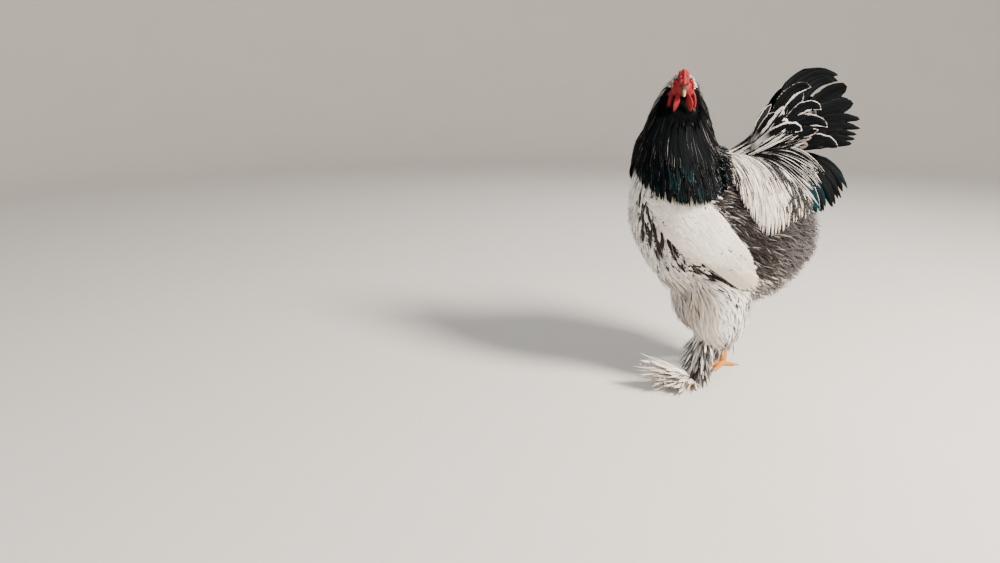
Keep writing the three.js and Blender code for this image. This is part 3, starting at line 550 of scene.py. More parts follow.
def coordinates(form: Form) -> Array:
    """The vertices of a form, in the bird's millimetres."""
    places = gathered(form.data.vertices, "co", 3, np.float32)
    return places.astype(float) / MM + (0, SHIFT_Y, 0)


def normals_of(form: Form) -> Array:
    """The outward directions at a form's vertices."""
    return gathered(form.data.vertices, "normal", 3, np.float32).astype(float)


def moved(form: Form, points: Array) -> None:
    """Puts a form's vertices at points of the bird."""
    form.data.vertices.foreach_set("co", framed(points).astype(np.float32).ravel())
    form.data.update()


def coloured(mesh: bpy.types.Mesh, name: str, values: Array) -> None:
    """Keeps a colour at each vertex; a fourth part is 1 where none is given."""
    whole = np.ones((len(mesh.vertices), 4), np.float32)
    whole[:, :values.shape[1]] = values
    mesh.attributes.new(name, "FLOAT_COLOR", "POINT").data.foreach_set("color", whole.ravel())


# ---------------------------------------------------------------------------- finishes


def node(
    tree: bpy.types.NodeTree, kind: str, settings: dict | None = None, **links: object
) -> bpy.types.Node:
    """Adds a node with its settings and what feeds it.

    Args:
        tree: the material's nodes.
        kind: the node's type, without the shader prefix.
        settings: properties of the node.
        links: sockets by name, with _ for a space, or by in0, in1 and so on for their order; a
            value is a number, a colour or another node's socket.

    Returns:
        The node.
    """
    made = tree.nodes.new("ShaderNode" + kind)
    for key, value in (settings or {}).items():
        setattr(made, key, value)
    feed(made, **links)
    return made


def feed(made: bpy.types.Node, **links: object) -> None:
    """Sets or links a node's inputs, named as for node()."""
    for key, value in links.items():
        ordered = key[:2] == "in" and key[2:].isdigit()
        socket = made.inputs[int(key[2:]) if ordered else key.replace("_", " ")]
        if isinstance(value, Socket):
            made.id_data.links.new(value, socket)
        else:
            socket.default_value = value


class Sums:
    """Short arithmetic on the sockets of one material."""

    def __init__(self, tree: bpy.types.NodeTree) -> None:
        """Keeps the tree that the nodes are added to."""
        self.tree = tree

    def do(self, what: str, *values: object, clamp: bool = False) -> Socket:
        """One Math node on up to three values."""
        feeds = {f"in{i}": value for i, value in enumerate(values)}
        settings = {"operation": what, "use_clamp": clamp}
        return node(self.tree, "Math", settings, **feeds).outputs[0]

    def step(self, value: object, low: object, high: object) -> Socket:
        """A smooth step of a value from 0 at low to 1 at high."""
        settings = {"interpolation_type": "SMOOTHSTEP"}
        made = node(self.tree, "MapRange", settings, in0=value, in1=low, in2=high)
        return made.outputs[0]

    def own(self, name: str) -> bpy.types.bpy_prop_collection:
        """What a mesh keeps under a name at its vertices."""
        return node(self.tree, "Attribute", {"attribute_name": name}).outputs

    def spot(self) -> Socket:
        """The place on the object."""
        return node(self.tree, "TexCoord").outputs["Object"]

    def noise(self, spot: Socket, scale: float, detail: float) -> Socket:
        """Noise by place."""
        return node(self.tree, "TexNoise", Vector=spot, Scale=scale, Detail=detail).outputs[0]

    def split(self, colour: Socket) -> list[Socket]:
        """The three parts of a colour."""
        return list(node(self.tree, "SeparateColor", in0=colour).outputs)

    def bump(
        self, strength: float, distance: float, height: Socket
    ) -> Socket:
        """Relief from a height."""
        made = node(self.tree, "Bump", Strength=strength, Distance=distance, Height=height)
        return made.outputs[0]

    def blend(self, share: object, a: object, b: object, way: str = "MIX") -> Socket:
        """A mix of two colours."""
        settings = {"data_type": "RGBA", "blend_type": way}
        return node(self.tree, "Mix", settings, in0=share, in6=a, in7=b).outputs[2]


def started(name: str) -> tuple[bpy.types.Material, bpy.types.NodeTree, bpy.types.Node]:
    """A new material, its nodes and its shader."""
    made = bpy.data.materials.new(name)
    made.use_nodes = True
    tree = made.node_tree
    return made, tree, tree.nodes["Principled BSDF"]


@dataclass(frozen=True)
class Plumage:
    """Grown feather vanes, with barbs that run out from the shaft.

    Vanes are matt, with a soft sheen from their barbs. Black ones are smoother, with a green cast
    in their highlights and no sheen.
    """

    name: str
    rough: float = 0.72
    gloss: tuple[float, float, float] = (1, 1, 1)
    specular: float = 0.2
    sheen: float = 0.08
    # how dark the painted shade round a vane's outline is
    rim: float = 0.13
    ragged: float = 0.5
    barb: float = 1.3  # mm between two barbs; real ones stand closer, too fine to show

    def material(self) -> bpy.types.Material:
        """Makes the material, which reads each vane's own colours and markings and paints shade
        towards each vane's root and round its outline.
        """
        made, tree, shader = started(self.name)
        sums = Sums(tree)
        vane = node(tree, "UVMap", {"uv_map": "Vane"}).outputs[0]
        across, along, _ = node(tree, "SeparateXYZ", in0=vane).outputs
        mark, _, _, side = sums.own("Mark")
        habit, _, _, long = sums.own("Habit")
        signed = sums.do("MULTIPLY_ADD", across, 2, -1)
        off = sums.do("ABSOLUTE", signed)
        tip = sums.do("MULTIPLY_ADD", along, 7.5, -6.5)
        skewed = sums.do("ABSOLUTE", sums.do("ADD", signed, sums.do("SUBTRACT", side, 1.0)))
        edge = sums.do("MAXIMUM", skewed, tip)
        marked = self.marked(sums, along, off, edge, sums.split(habit))
        body = sums.blend(marked, sums.own("Tint")[0], mark)
        count = sums.do("MULTIPLY", long, LONGEST / self.barb)
        slant = sums.do("MULTIPLY", off, 4.0)
        phase = sums.do("SUBTRACT", sums.do("MULTIPLY", along, count), slant)
        barbs = sums.do("SINE", sums.do("MULTIPLY", phase, 2 * math.pi))
        # The vane is darker towards its root: partly its downy base, partly painted shade where the
        # feathers over it lie. The barbs stripe it finely.
        shade = sums.do("MULTIPLY_ADD", barbs, 0.06, sums.do("MULTIPLY_ADD", along, 0.15, 0.87))
        # Painted shade along each vane's outline, where it lies on the feather below.
        rim = sums.step(sums.do("MAXIMUM", off, tip), 0.72, 1.0)
        shade = sums.do("SUBTRACT", shade, sums.do("MULTIPLY", rim, self.rim))
        shaft = sums.step(off, 0.1, 0.04)
        shade = sums.do("ADD", shade, sums.do("MULTIPLY", shaft, 0.08))
        grey = node(tree, "CombineColor", in0=shade, in1=shade, in2=shade).outputs[0]
        body = sums.blend(1.0, body, grey, "MULTIPLY")
        light = node(tree, "RGBToBW", in0=body).outputs[0]
        rough = sums.do("MULTIPLY_ADD", sums.step(light, 0.02, 0.3), 0.86 - self.rough, self.rough)
        feed(shader, Base_Color=body, Roughness=rough, Normal=sums.bump(0.35, 0.0004, barbs),
             Specular_IOR_Level=self.specular, Specular_Tint=(*self.gloss, 1),
             Sheen_Weight=self.sheen, Sheen_Roughness=0.5)
        return made

    def marked(
        self, sums: Sums, along: Socket, off: Socket, edge: Socket, habit: Sequence[Socket]
    ) -> Socket:
        """Where a vane has its marks' colour: laced edges, a streak down the shaft, flecks.

        Args:
            sums: the material's arithmetic.
            along: the share of the feather's length.
            off: the share of its half width off the shaft.
            edge: how near the outline is, 1 on it.
            habit: the lacing, the streak and the flecking that the feather has.

        Returns:
            The share of the marks' colour.
        """
        lacing, streak, fleck = habit
        spot = sums.spot()
        noise = sums.noise(spot, 420.0, 3.0)
        wobble = sums.do("MULTIPLY_ADD", noise, self.ragged, -self.ragged / 2)
        inner = sums.do("MULTIPLY_ADD", lacing, -1.3, 1.3)
        edge = sums.do("ADD", edge, wobble)
        laced = sums.step(edge, sums.do("SUBTRACT", inner, 0.1), sums.do("ADD", inner, 0.04))
        outer = sums.step(sums.do("ADD", along, wobble), 0.2, 0.6)
        laced = sums.do("MULTIPLY", laced, sums.do("MULTIPLY_ADD", outer, 0.85, 0.15))
        taper = sums.do("MULTIPLY", streak, sums.do("SUBTRACT", 1.02, sums.do("POWER", along, 5)))
        streaked = sums.step(sums.do("ADD", off, wobble), taper, sums.do("MULTIPLY", taper, 0.6))
        spots = sums.noise(spot, 210.0, 3.0)
        limit = sums.do("MULTIPLY_ADD", fleck, -0.42, 0.8)
        flecked = sums.step(spots, limit, sums.do("ADD", limit, 0.05))
        return sums.do("MAXIMUM", sums.do("MAXIMUM", laced, streaked), flecked, clamp=True)


@dataclass(frozen=True)
class LivingSkin:
    """Bare skin of the face and comb, horny leg scales, and the pale skin under the feathers.

    The bare red skin is pebbled and moist enough for a soft highlight. The scales are smoother
    plates with dirt in their joints.
    """

    name: str = "bare_skin_and_leg_scales"
    pebble: float = 1.1  # mm across one papilla

    def material(self) -> bpy.types.Material:
        """Makes the material, which reads what covers each place from the skin's own colours."""
        made, tree, shader = started(self.name)
        sums = Sums(tree)
        ground = sums.own("Tint")[0]
        bare, scaly, joint = sums.split(sums.own("Habit")[0])
        spot = sums.spot()
        cells = node(tree, "TexVoronoi", Vector=spot, Scale=1000 / self.pebble).outputs[0]
        blood = sums.noise(spot, 120.0, 4.0)
        dark = sums.blend(sums.step(blood, 0.42, 0.66), ground, opaque("#6E0A12"))
        body = sums.blend(sums.do("MULTIPLY", bare, 0.55), ground, dark)
        body = sums.blend(sums.do("MULTIPLY", joint, 0.7), body, opaque("#7A4A22"))
        folds = sums.noise(spot, 380.0, 4.0)
        pebbles = sums.do("MULTIPLY_ADD", folds, 2.2, sums.do("SUBTRACT", 1.0, cells))
        bump = sums.bump(0.7, 0.0006, sums.do("MULTIPLY", pebbles, bare))
        rough = sums.do("MULTIPLY_ADD", sums.do("ADD", bare, scaly, clamp=True), -0.36, 0.82)
        feed(shader, Base_Color=body, Roughness=rough, Normal=bump, IOR=1.42,
             Subsurface_Weight=0.12, Subsurface_Radius=(0.9, 0.3, 0.2), Subsurface_Scale=0.003)
        return made


@dataclass(frozen=True)
class HornSheath:
    """Grown keratin of beak or claw: smooth and half glossy, with a faint grain."""

    name: str
    pale: str
    dark: str
    rough: float = 0.34

    def material(self) -> bpy.types.Material:
        """Makes the material; its dark share is kept at each vertex."""
        made, tree, shader = started(self.name)
        sums = Sums(tree)
        share = sums.own("Tint")[2]
        grain = sums.noise(sums.spot(), 900.0, 3.0)
        share = sums.do("ADD", share, sums.do("MULTIPLY_ADD", grain, 0.4, -0.2), clamp=True)
        body = sums.blend(share, opaque(self.pale), opaque(self.dark))
        feed(shader, Base_Color=body, Normal=sums.bump(0.15, 0.0002, grain),
             Roughness=self.rough, IOR=1.54, Coat_Weight=0.2, Coat_Roughness=0.2)
        return made


@dataclass(frozen=True)
class EyeGlobe:
    """A wet eyeball: an orange iris with fine rays round a black pupil, under a clear cornea."""

    name: str = "wet_eyeball"
    iris: str = "#B4571A"
    rim: str = "#4A1A08"

    def material(self) -> bpy.types.Material:
        """Makes the material; how far round from the pupil's middle is kept at each vertex."""
        made, tree, shader = started(self.name)
        sums = Sums(tree)
        away, ray, _ = sums.split(sums.own("Tint")[0])
        rays = sums.do("MULTIPLY_ADD", sums.do("SINE", sums.do("MULTIPLY", ray, 200.0)), 0.5, 0.5)
        iris = sums.blend(rays, opaque(self.iris), opaque("#D98A34"))
        iris = sums.blend(sums.step(away, 0.5, 0.66), iris, opaque(self.rim))
        body = sums.blend(sums.step(away, 0.3, 0.26), iris, (0.004, 0.004, 0.004, 1))
        feed(shader, Base_Color=body, Roughness=0.08, IOR=1.38, Coat_Weight=1.0,
             Coat_Roughness=0.02)
        return made


@dataclass(frozen=True)
class StudioPaper:
    """Plain pale studio paper, matt, with a faint uneven tone."""

    name: str = "studio_paper"
    tone: str = "#D9D5CE"

    def material(self) -> bpy.types.Material:
        """Makes the material."""
        made, tree, shader = started(self.name)
        sums = Sums(tree)
        noise = sums.noise(sums.spot(), 3.0, 4.0)
        paler = tuple(c * 1.06 for c in linear(self.tone))
        feed(shader, Base_Color=sums.blend(noise, opaque(self.tone), (*paler, 1)), Roughness=0.95)
        return made


# ---------------------------------------------------------------------------- colours of the bird


class Tone(Enum):
    """The plumage's and skin's colours."""

    WHITE = "#F7F3EC"
    CREAM = "#EADFCB"
    SILVER = "#C9C6C0"
    BLACK = "#050608"
    BRONZE = "#211914"
    # A painted green sheen, for mixing into the colour of black feathers.
    PAINTED_GREEN_SHEEN = "#0A3A40"
    BROWN = "#3B332F"
    SMOKE = "#504B4C"
    ASH = "#938D88"
    TAN = "#B59C7E"
    RED = "#8A0D18"
    YELLOW = "#CF8638"

    @property
    def light(self) -> Array:
        """The colour as linear light."""
        return np.array(linear(self.value))


# ---------------------------------------------------------------------------- feathers


class Outline(Enum):
    """How wide a feather is along its length: [share of the length, share of the half width]."""

    POINTED = ((0, 0.35), (0.2, 0.75), (0.45, 1), (0.7, 0.84), (0.88, 0.45), (1, 0))
    ROUNDED = ((0, 0.35), (0.3, 0.8), (0.6, 1), (0.82, 0.96), (0.94, 0.66), (1, 0))
    FLIGHT = ((0, 0.5), (0.2, 0.85), (0.6, 1), (0.85, 0.92), (0.96, 0.5), (1, 0))
    SICKLE = ((0, 0.5), (0.3, 0.9), (0.6, 1), (0.85, 0.74), (0.95, 0.45), (1, 0))
    MAIN = ((0, 0.4), (0.3, 0.7), (0.7, 1), (0.9, 0.94), (0.97, 0.6), (1, 0))
    COVERT = ((0, 0.4), (0.3, 0.75), (0.6, 1), (0.8, 0.86), (0.93, 0.52), (1, 0))
    WISP = ((0, 0.6), (0.4, 1), (0.75, 0.55), (1, 0))

    def widths(self, count: int) -> tuple[Array, Array]:
        """Stations along the feather, closer at the tip, and their shares of the half width."""
        t = 1 - (1 - np.linspace(0, 1, count)) ** 1.35
        table = np.array(self.value)
        return t, np.interp(t, table[:, 0], table[:, 1])


@dataclass
class Feathers:
    """Feathers of one kind: the lines of their two edges and shafts, and what marks them.

    left, mid and right are (feathers, stations, 3); tint may change along the feather and mark
    doesn't. habit is lacing width, streak width and flecking, each from 0 to 1, and skew draws
    the lacing to one edge.
    """

    left: Array
    mid: Array
    right: Array
    out: Array
    stations: Array
    arch: float = 0.8
    thick: float = 0.35
    tint: Array = field(default_factory=lambda: np.ones(3))
    mark: Array = field(default_factory=lambda: np.zeros(3))
    habit: Array = field(default_factory=lambda: np.zeros(3))
    skew: Array | float = 0.0

    def mirrored(self) -> "Feathers":
        """The same feathers on the bird's other side."""
        flip = np.array((-1.0, 1, 1))
        return Feathers(self.left * flip, self.mid * flip, self.right * flip, self.out * flip,
                        self.stations, self.arch, self.thick, self.tint, self.mark, self.habit,
                        self.skew)


def laid(
    spot: Callable[[Array, Array], Array], half: Array, outline: Outline, count: int,
    rng: Chance, **marks: object
) -> Feathers:
    """Feathers laid on a surface.

    Args:
        spot: the surface under each feather, from (1, stations) shares of the length and
            (feathers, stations) millimetres across.
        half: each feather's half width, (feathers,).
        outline: its shape.
        count: how many stations it has.
        rng: the source of what varies.
        marks: the other fields of Feathers.

    Returns:
        The feathers.
    """
    t, share = outline.widths(count)
    wide = half[:, None] * share
    wide = wide * (1 + rng.normal(0, 0.07, wide.shape))
    mid = spot(t[None, :], np.zeros_like(wide))
    left = spot(t[None, :], -wide)
    right = spot(t[None, :], wide * (1 + rng.normal(0, 0.05, wide.shape)))
    left[:, -1] = right[:, -1] = mid[:, -1]
    return Feathers(left, mid, right, stations=t, **marks)


class Coat:
    """A piece of coat: many feathers, each a closed thin blade, joined in one mesh."""

    def __init__(self, name: str, skin: "Skin") -> None:
        """Starts an empty piece over the skin."""
        self.name = name
        self.skin = skin
        self.groups: list[Feathers] = []

    def add(self, feathers: Feathers) -> None:
        """Adds a group of feathers."""
        self.groups.append(feathers)

    @staticmethod
    def blades(group: Feathers) -> tuple[Array, Array, Array]:
        """The closed thin blades of one group.

        Args:
            group: the feathers.

        Returns:
            Their vertices (feathers, points, 3), and the across and along share of each point.
        """
        ahead = np.gradient(group.mid, axis=1)
        across = group.right - group.left
        across[:, -1] = across[:, -2]
        out = unit(np.cross(ahead, across))
        away = group.out[:, None] if group.out.ndim == 2 else group.out
        turned = (np.sum(out * away, -1).mean(1) < 0)[:, None, None]
        out = np.where(turned, -out, out)
        left = np.where(turned, group.right, group.left)
        right = np.where(turned, group.left, group.right)
        wide = np.linalg.norm(right - left, axis=-1, keepdims=True)
        arch = np.minimum(group.arch, wide * 0.16)
        top, under = group.mid + out * arch, group.mid + out * (arch * 0.5 - group.thick)
        rings = np.stack((left, top, right, under), 2)[:, :-1]
        count, rows = rings.shape[:2]
        points = np.concatenate((rings.reshape(count, rows * 4, 3), group.mid[:, -1:]), 1)
        u = np.append(np.tile((0, 0.5, 1, 0.5), rows), 0.5)
        v = np.append(np.repeat(group.stations[:-1], 4), 1)
        return points, u, v

    @staticmethod
    def faces(rows: int) -> list[tuple[int, ...]]:
        """The faces of one blade with this many rings and a tip."""
        found: list[tuple[int, ...]] = [(0, 1, 2, 3)]
        for ring in range(rows - 1):
            for i in range(4):
                a, b = ring * 4 + i, ring * 4 + (i + 1) % 4
                found.append((a, a + 4, b + 4, b))
        last = (rows - 1) * 4
        found += [(last + i, rows * 4, last + (i + 1) % 4) for i in range(4)]
        return found

    def build(self) -> Form:
        """Joins all the groups in one mesh, with its maps and colours.

        Returns:
            The object.
        """
        parts: dict[str, list[Array]] = defaultdict(list)
        base = corner = 0
        for group in self.groups:
            points, u, v = self.blades(group)
            count, each = points.shape[:2]
            rows = (each - 1) // 4
            shape = self.faces(rows)
            flat = np.concatenate([np.array(f) for f in shape])
            begins = np.concatenate(([0], np.cumsum([len(f) for f in shape])[:-1]))
            order = np.arange(count)[:, None]
            parts["points"].append(points.reshape(-1, 3))
            parts["corners"].append((flat[None] + base + order * each).ravel())
            parts["begins"].append((begins[None] + corner + order * len(flat)).ravel())
            rims = np.array([(ring * 4 + i, min(ring * 4 + i + 4, rows * 4))
                             for ring in range(rows) for i in (0, 2)])
            parts["rims"].append((rims[None] + base + order[:, :, None] * each).reshape(-1, 2))
            uv = np.stack((u, v), -1)[flat]
            root = self.skin.unwrapped(group.mid[:, 0])
            parts["Vane"].append(np.tile(uv, (count, 1)))
            parts["OFBake"].append((root[:, None] + (uv[None] - 0.5) * PATCH).reshape(-1, 2))
            for name, values in self.colours(group).items():
                parts[name].append(values.reshape(-1, values.shape[-1]))
            base += count * each
            corner += count * len(flat)
        whole = {name: np.concatenate(values) for name, values in parts.items()}
        mesh = self.meshed(whole["points"], whole["corners"], whole["begins"])
        for name in ("Vane", "OFBake"):
            layer = mesh.uv_layers.new(name=name)
            layer.data.foreach_set("uv", whole[name].astype(np.float32).ravel())
        for name in ("Tint", "Mark", "Habit"):
            coloured(mesh, name, whole[name])
        pairs = gathered(mesh.edges, "vertices", 2, np.int32)
        stride = (len(whole["points"]), 1)
        key = np.sort(pairs, 1).astype(np.int64) @ stride
        rim = np.sort(whole["rims"], 1).astype(np.int64) @ stride
        sharp = mesh.attributes.new("sharp_edge", "BOOLEAN", "EDGE")
        sharp.data.foreach_set("value", np.isin(key, rim))
        return linked(self.name, mesh)

    @staticmethod
    def colours(group: Feathers) -> dict[str, Array]:
        """What the material reads at each point of each feather, the length in the last part."""
        count, stations = group.mid.shape[:2]
        each = (stations - 1) * 4 + 1
        tint = np.asarray(group.tint, float)
        if tint.ndim < 3:
            tint = np.broadcast_to(tint.reshape(-1, 1, 3), (count, stations, 3))
        tint = np.concatenate((np.repeat(tint[:, :-1], 4, 1), tint[:, -1:]), 1)
        mark = np.broadcast_to(np.atleast_2d(group.mark), (count, 3))
        side = np.broadcast_to(1 + np.asarray(group.skew, float), (count,))[:, None]
        habit = np.broadcast_to(np.atleast_2d(group.habit), (count, 3))
        long = np.linalg.norm(np.diff(group.mid, axis=1), axis=-1).sum(1)[:, None] / LONGEST
        return {
            "Tint": tint,
            "Mark": np.repeat(np.concatenate((mark, side), 1), each, 0),
            "Habit": np.repeat(np.concatenate((habit, long), 1), each, 0),
        }

    def meshed(self, points: Array, corners: Array, begins: Array) -> bpy.types.Mesh:
        """A mesh of closed blades.

        Args:
            points: the vertices, in the bird's millimetres.
            corners: the vertices of all faces in a row.
            begins: where in that row each face begins.

        Returns:
            The mesh.
        """
        mesh = bpy.data.meshes.new(self.name)
        mesh.vertices.add(len(points))
        mesh.vertices.foreach_set("co", framed(points).astype(np.float32).ravel())
        mesh.loops.add(len(corners))
        mesh.loops.foreach_set("vertex_index", corners.astype(np.int32))
        mesh.polygons.add(len(begins))
        mesh.polygons.foreach_set("loop_start", begins.astype(np.int32))
        mesh.update(calc_edges=True)
        mesh.validate()
        return mesh


# ---------------------------------------------------------------------------- the skin


@dataclass
class Skin:
    """The whole skin in one closed mesh, under the feathers by the coat's depth."""

    sunk: float = 9.0
    body_voxel: float = 4.0
    head_voxel: float = 0.85
    leg_voxel: float = 1.3
    # The flesh under the tail: [middle x, middle z, y, half width, half height].
    tail_root: Rows = (
        (0, 474, 34, 8, 12), (0, 488, 52, 16, 24), (0, 497, 84, 20, 32), (0, 502, 108, 16, 28),
        (0, 505, 128, 8, 16),
    )
    # The skull's flesh from behind: [ahead, half width, top, bottom].
    skull: Rows = (
        (-36, 3, 3, -2), (-34, 10, 10, -8), (-27, 19, 18, -18), (-14, 23.5, 24, -23),
        (0, 24, 25, -22), (12, 20, 22, -18), (22, 14, 15, -14), (28, 9, 8, -10), (30, 4, 3, -6),
    )
    # A toe's thickness along it: [share of its length, share of its root's].
    toe_swell: Rows = (
        (-0.06, 0.85), (0.08, 1.02), (0.22, 0.98), (0.3, 0.9), (0.42, 1), (0.55, 0.97),
        (0.63, 0.88), (0.75, 0.97), (0.86, 0.9), (0.93, 0.78), (0.99, 0.5),
    )

    # What the coats read of the finished skin.
    points: Array = field(init=False, repr=False)
    triangles: Array = field(init=False, repr=False)
    map: Array = field(init=False, repr=False)
    tree: BVHTree = field(init=False, repr=False)

    def body(self) -> list[Form]:
        """The torso, neck, folded wing arms and thighs."""
        y = np.linspace(*BIRD.torso_span, 26)
        _, top, bottom, half = columns(BIRD.torso(y))
        sink = mix(self.sunk, self.sunk + 5, ramp(y, 60, 170))
        rows = vec(0 * y, (top + bottom) / 2, y, half - sink, (top - bottom) / 2 - sink)
        rows = np.concatenate(([[0, 400, -194, 22, 34]], rows, [[0, 334, 183, 26, 34]]))
        forms = [loft("torso_form", rows, LENGTHWISE, 40, BIRD.squareness)]
        z = np.linspace(662, 440, 16)
        _, x, y, half, deep = columns(BIRD.cape(z))
        sink = mix(4.0, 11.0, ramp(z, 662, 600))
        rows = vec(x, y, z, half - sink, deep - sink)
        forms.append(loft("neck_form", rows, around=36))
        forms += [self.wing_arm(side) for side in (1, -1)]
        forms.append(loft("rump_form", self.tail_root, LENGTHWISE, 24))
        for leg in LEGS:
            rows = smooth_rows(leg.thigh)(np.linspace(300, 104, 12))
            z, x, y, wide, deep = columns(rows)
            wide, deep = wide - 9, deep - mix(9, 16, ramp(z, 260, 120))
            rows = vec(leg.side * x, y, z, wide, np.maximum(deep, wide * 0.8))
            forms.append(loft(f"thigh_form_{leg.name}", rows, around=30))
        return forms

    @staticmethod
    def wing_arm(side: int) -> Form:
        """The flesh and folded quills of one wing, flat against the flank."""
        along = np.linspace(6, 200, 12)
        _, low, high, _ = columns(BIRD.wing(along))
        middle = (low + high) / 2
        (wy, wz), (sy, sz) = BIRD.wing_way, BIRD.wing_shoulder
        y, z = sy + along * wy - middle * wz, sz + along * wz + middle * wy
        off = BIRD.flank_x(y, z) - 9
        taper = np.sin(np.pi * (0.12 + 0.76 * np.linspace(0, 1, 12))) ** 0.4
        rows = vec(middle, side * (off + 0.5), along, (high - low) * 0.36 * taper, 12 * taper)
        axes = Matrix(((0, 1, 0, 0), (-wz, 0, wy, sy), (wy, 0, wz, sz), (0, 0, 0, 1)))
        return loft(f"wing_form_{side}", rows, axes, 24)

    def head(self) -> list[Form]:
        """The skull's flesh with brows, cheeks and lids, the comb, the wattles and the lobes."""
        rows = [
            (0, (top + low) / 2, ahead, half, (top - low) / 2)
            for ahead, half, top, low in self.skull
        ]
        forms = [loft("skull_form", rows, HEAD_AXES @ ALONG_BEAK, 32)]
        for side in (1, -1):
            forms.append(ball("brow", (6, side * 14.5, 14), (13, 6, 5), HEAD_AXES))
            forms.append(ball("cheek", (2, side * 14.5, -10), (13, 7.5, 10), HEAD_AXES))
            forms += self.lids(side)
            forms += [self.lobe(lobe, side) for lobe in (WATTLE, EARLOBE)]
        return forms + self.comb() + [ball("nape", (-16, 0, -18), (19, 19, 24), HEAD_AXES)]

    @staticmethod
    def lids(side: int) -> list[Form]:
        """The two lids round one eye, each a curved fold, and the ring of wrinkled skin outside."""
        forms = []
        for wide, thick, out, flat in ((5.9, 1.25, 20.6, 0.8), (8.4, 1.3, 19.2, 0.84)):
            select()
            bpy.ops.mesh.primitive_torus_add(major_radius=wide, minor_radius=thick,
                                             major_segments=40, minor_segments=10)
            ring = bpy.context.object
            with editing():
                bpy.ops.transform.resize(value=(1, flat, 1), center_override=(0, 0, 0))
            upright = Matrix(((1, 0, 0, 9), (0, 0, side, side * out), (0, 1, 0, 5), (0, 0, 0, 1)))
            forms.append(place(ring, "lid", HEAD_AXES @ upright))
        return forms

    @staticmethod
    def lobe(shape: Lobe, side: int) -> Form:
        """A hanging lobe of skin, with a soft curl and a fold down its face.

        Args:
            shape: its place and size.
            side: 1 on the left, -1 on the right.

        Returns:
            The lobe.
        """
        top, tip = shape.line(side)
        across = HEAD_TURN @ np.array((0.7, side * 0.7, 0))
        across[2] = 0
        across = unit(across)
        t = np.linspace(0.02, 0.985, 14)
        share = np.interp(t, np.linspace(0, 1, 7), (0.35, 0.62, 0.9, 1, 0.88, 0.56, 0.14))
        fall = tip - top
        shift_x = fall[:2] @ across[:2]
        shift_y = fall[:2] @ (-across[1], across[0])
        curl = 1.6 * np.sin(np.pi * t)
        rows = vec(shift_x * t, shift_y * t + curl, fall[2] * t, shape.wide * share,
                   shape.thick * np.sqrt(share))
        turned = ((across[0], -across[1], 0, 0), (across[1], across[0], 0, 0), (0, 0, 1, 0),
                  (0, 0, 0, 1))
        axes = Matrix.Translation(Vector(top)) @ Matrix(turned)
        return loft(f"lobe_form_{side}", rows, axes, 22)

    @staticmethod
    def comb() -> list[Form]:
        """The low comb: three lengthwise rows of beads on a fleshy base, the middle one highest."""
        slope = Matrix.Translation((12, 0, 20)) @ Matrix.Rotation(math.radians(24), 4, "Y")
        forms = [ball("comb_base", (0, 0, 1), (21, 9.5, 8), HEAD_AXES @ slope)]
        for row in (-1, 0, 1):
            beads = 5 if row else 6
            for i in range(beads):
                share = (i + (0.5 if row else 0)) / 5
                swell = math.sin(math.pi * (0.18 + 0.68 * share))
                rise = (3.8 if row else 8) * swell
                size = (4.6 if row else 5.3) * (0.86 + 0.24 * swell)
                up = mix(25, 9.5, share ** 1.7) + rise
                centre = (mix(-4, 29, share), row * 7 * mix(0.72, 1, swell), up)
                tall = size * 1.25 * (1 + 0.12 * math.sin(5.1 * i + row))
                forms.append(ball("bead", centre, (size, size * 0.92, tall), HEAD_AXES, 14))
        return forms

    def feet(self, leg: Leg) -> list[Form]:
        """One shank with its toes and pad."""
        t = np.array((-0.12, 0.0, 0.3, 0.7, 0.93, 0.99))
        radius = np.array((8.5, 9.2, 8.2, 7.6, 8.8, 6.0))
        line = leg.shank(t)
        rows = vec(line[:, 0], line[:, 1], line[:, 2], radius, radius * 1.15)
        forms = [loft("shank_form", rows, around=20)]
        for toe, (_, long, root) in enumerate(leg.toes):
            share, swell = np.array(self.toe_swell).T
            size = root * 1.12 * swell * mix(1, 0.82, share)
            rows = vec(0 * share, mix(root - 1.4, root * 0.55, share), long * share, size,
                       size * 0.95)
            forms.append(loft("toe_form", rows, leg.toe_axes(toe), 16))
        forms.append(ball("pad", leg.foot_point(7.5), (11, 12, 8)))
        return forms

    def build(self) -> Form:
        """Makes the skin: each region at its own fineness, then all in one closed mesh.

        Returns:
            The object.
        """
        whole = fused("skin", self.body(), self.body_voxel, 6)
        head = fused("head_skin", self.head(), self.head_voxel, 3)
        for side in (1, -1):
            socket = ball("socket", eye_centre(side), (6.35, 6.35, 6.35), HEAD_AXES, 32)
            united(head, socket, "DIFFERENCE")
        coarse = BVHTree.FromObject(whole, bpy.context.evaluated_depsgraph_get())
        united(whole, head)
        for leg in LEGS:
            foot = fused("foot_skin", self.feet(leg), self.leg_voxel, 2)
            self.scutes(foot, leg)
            united(whole, foot)
        self.colour(whole, coarse)
        self.unwrap(whole)
        return whole

    @staticmethod
    def scutes(foot: Form, leg: Leg) -> None:
        """Raises the plates of toes and shank, and presses the soles flat on the floor."""
        points, ways = coordinates(foot), normals_of(foot)
        best = np.full(len(points), 1e9)
        raised = np.zeros(len(points))
        for toe, (_, long, root) in enumerate(leg.toes):
            origin, way = leg.foot_point(root * 0.8), leg.toe_way(toe)
            along = np.clip((points - origin) @ way, 4, long)
            off = np.linalg.norm(points - origin - along[:, None] * way, axis=1)
            plate = plated(along, TOE_PLATE)
            mine = off < best
            raised = np.where(mine, plate * ramp(ways[:, 2], 0.1, 0.6), raised)
            best = np.minimum(best, off)
        shank = ramp(points[:, 2], 16, 24)
        plate = plated(points[:, 2], SHANK_PLATE)
        raised = mix(raised, plate * ramp(-ways[:, 1], -0.2, 0.5), shank)
        points = points + ways * (raised[:, None] * 0.6 - 0.2)
        points[:, 2] = np.maximum(points[:, 2], 0)
        moved(foot, points)

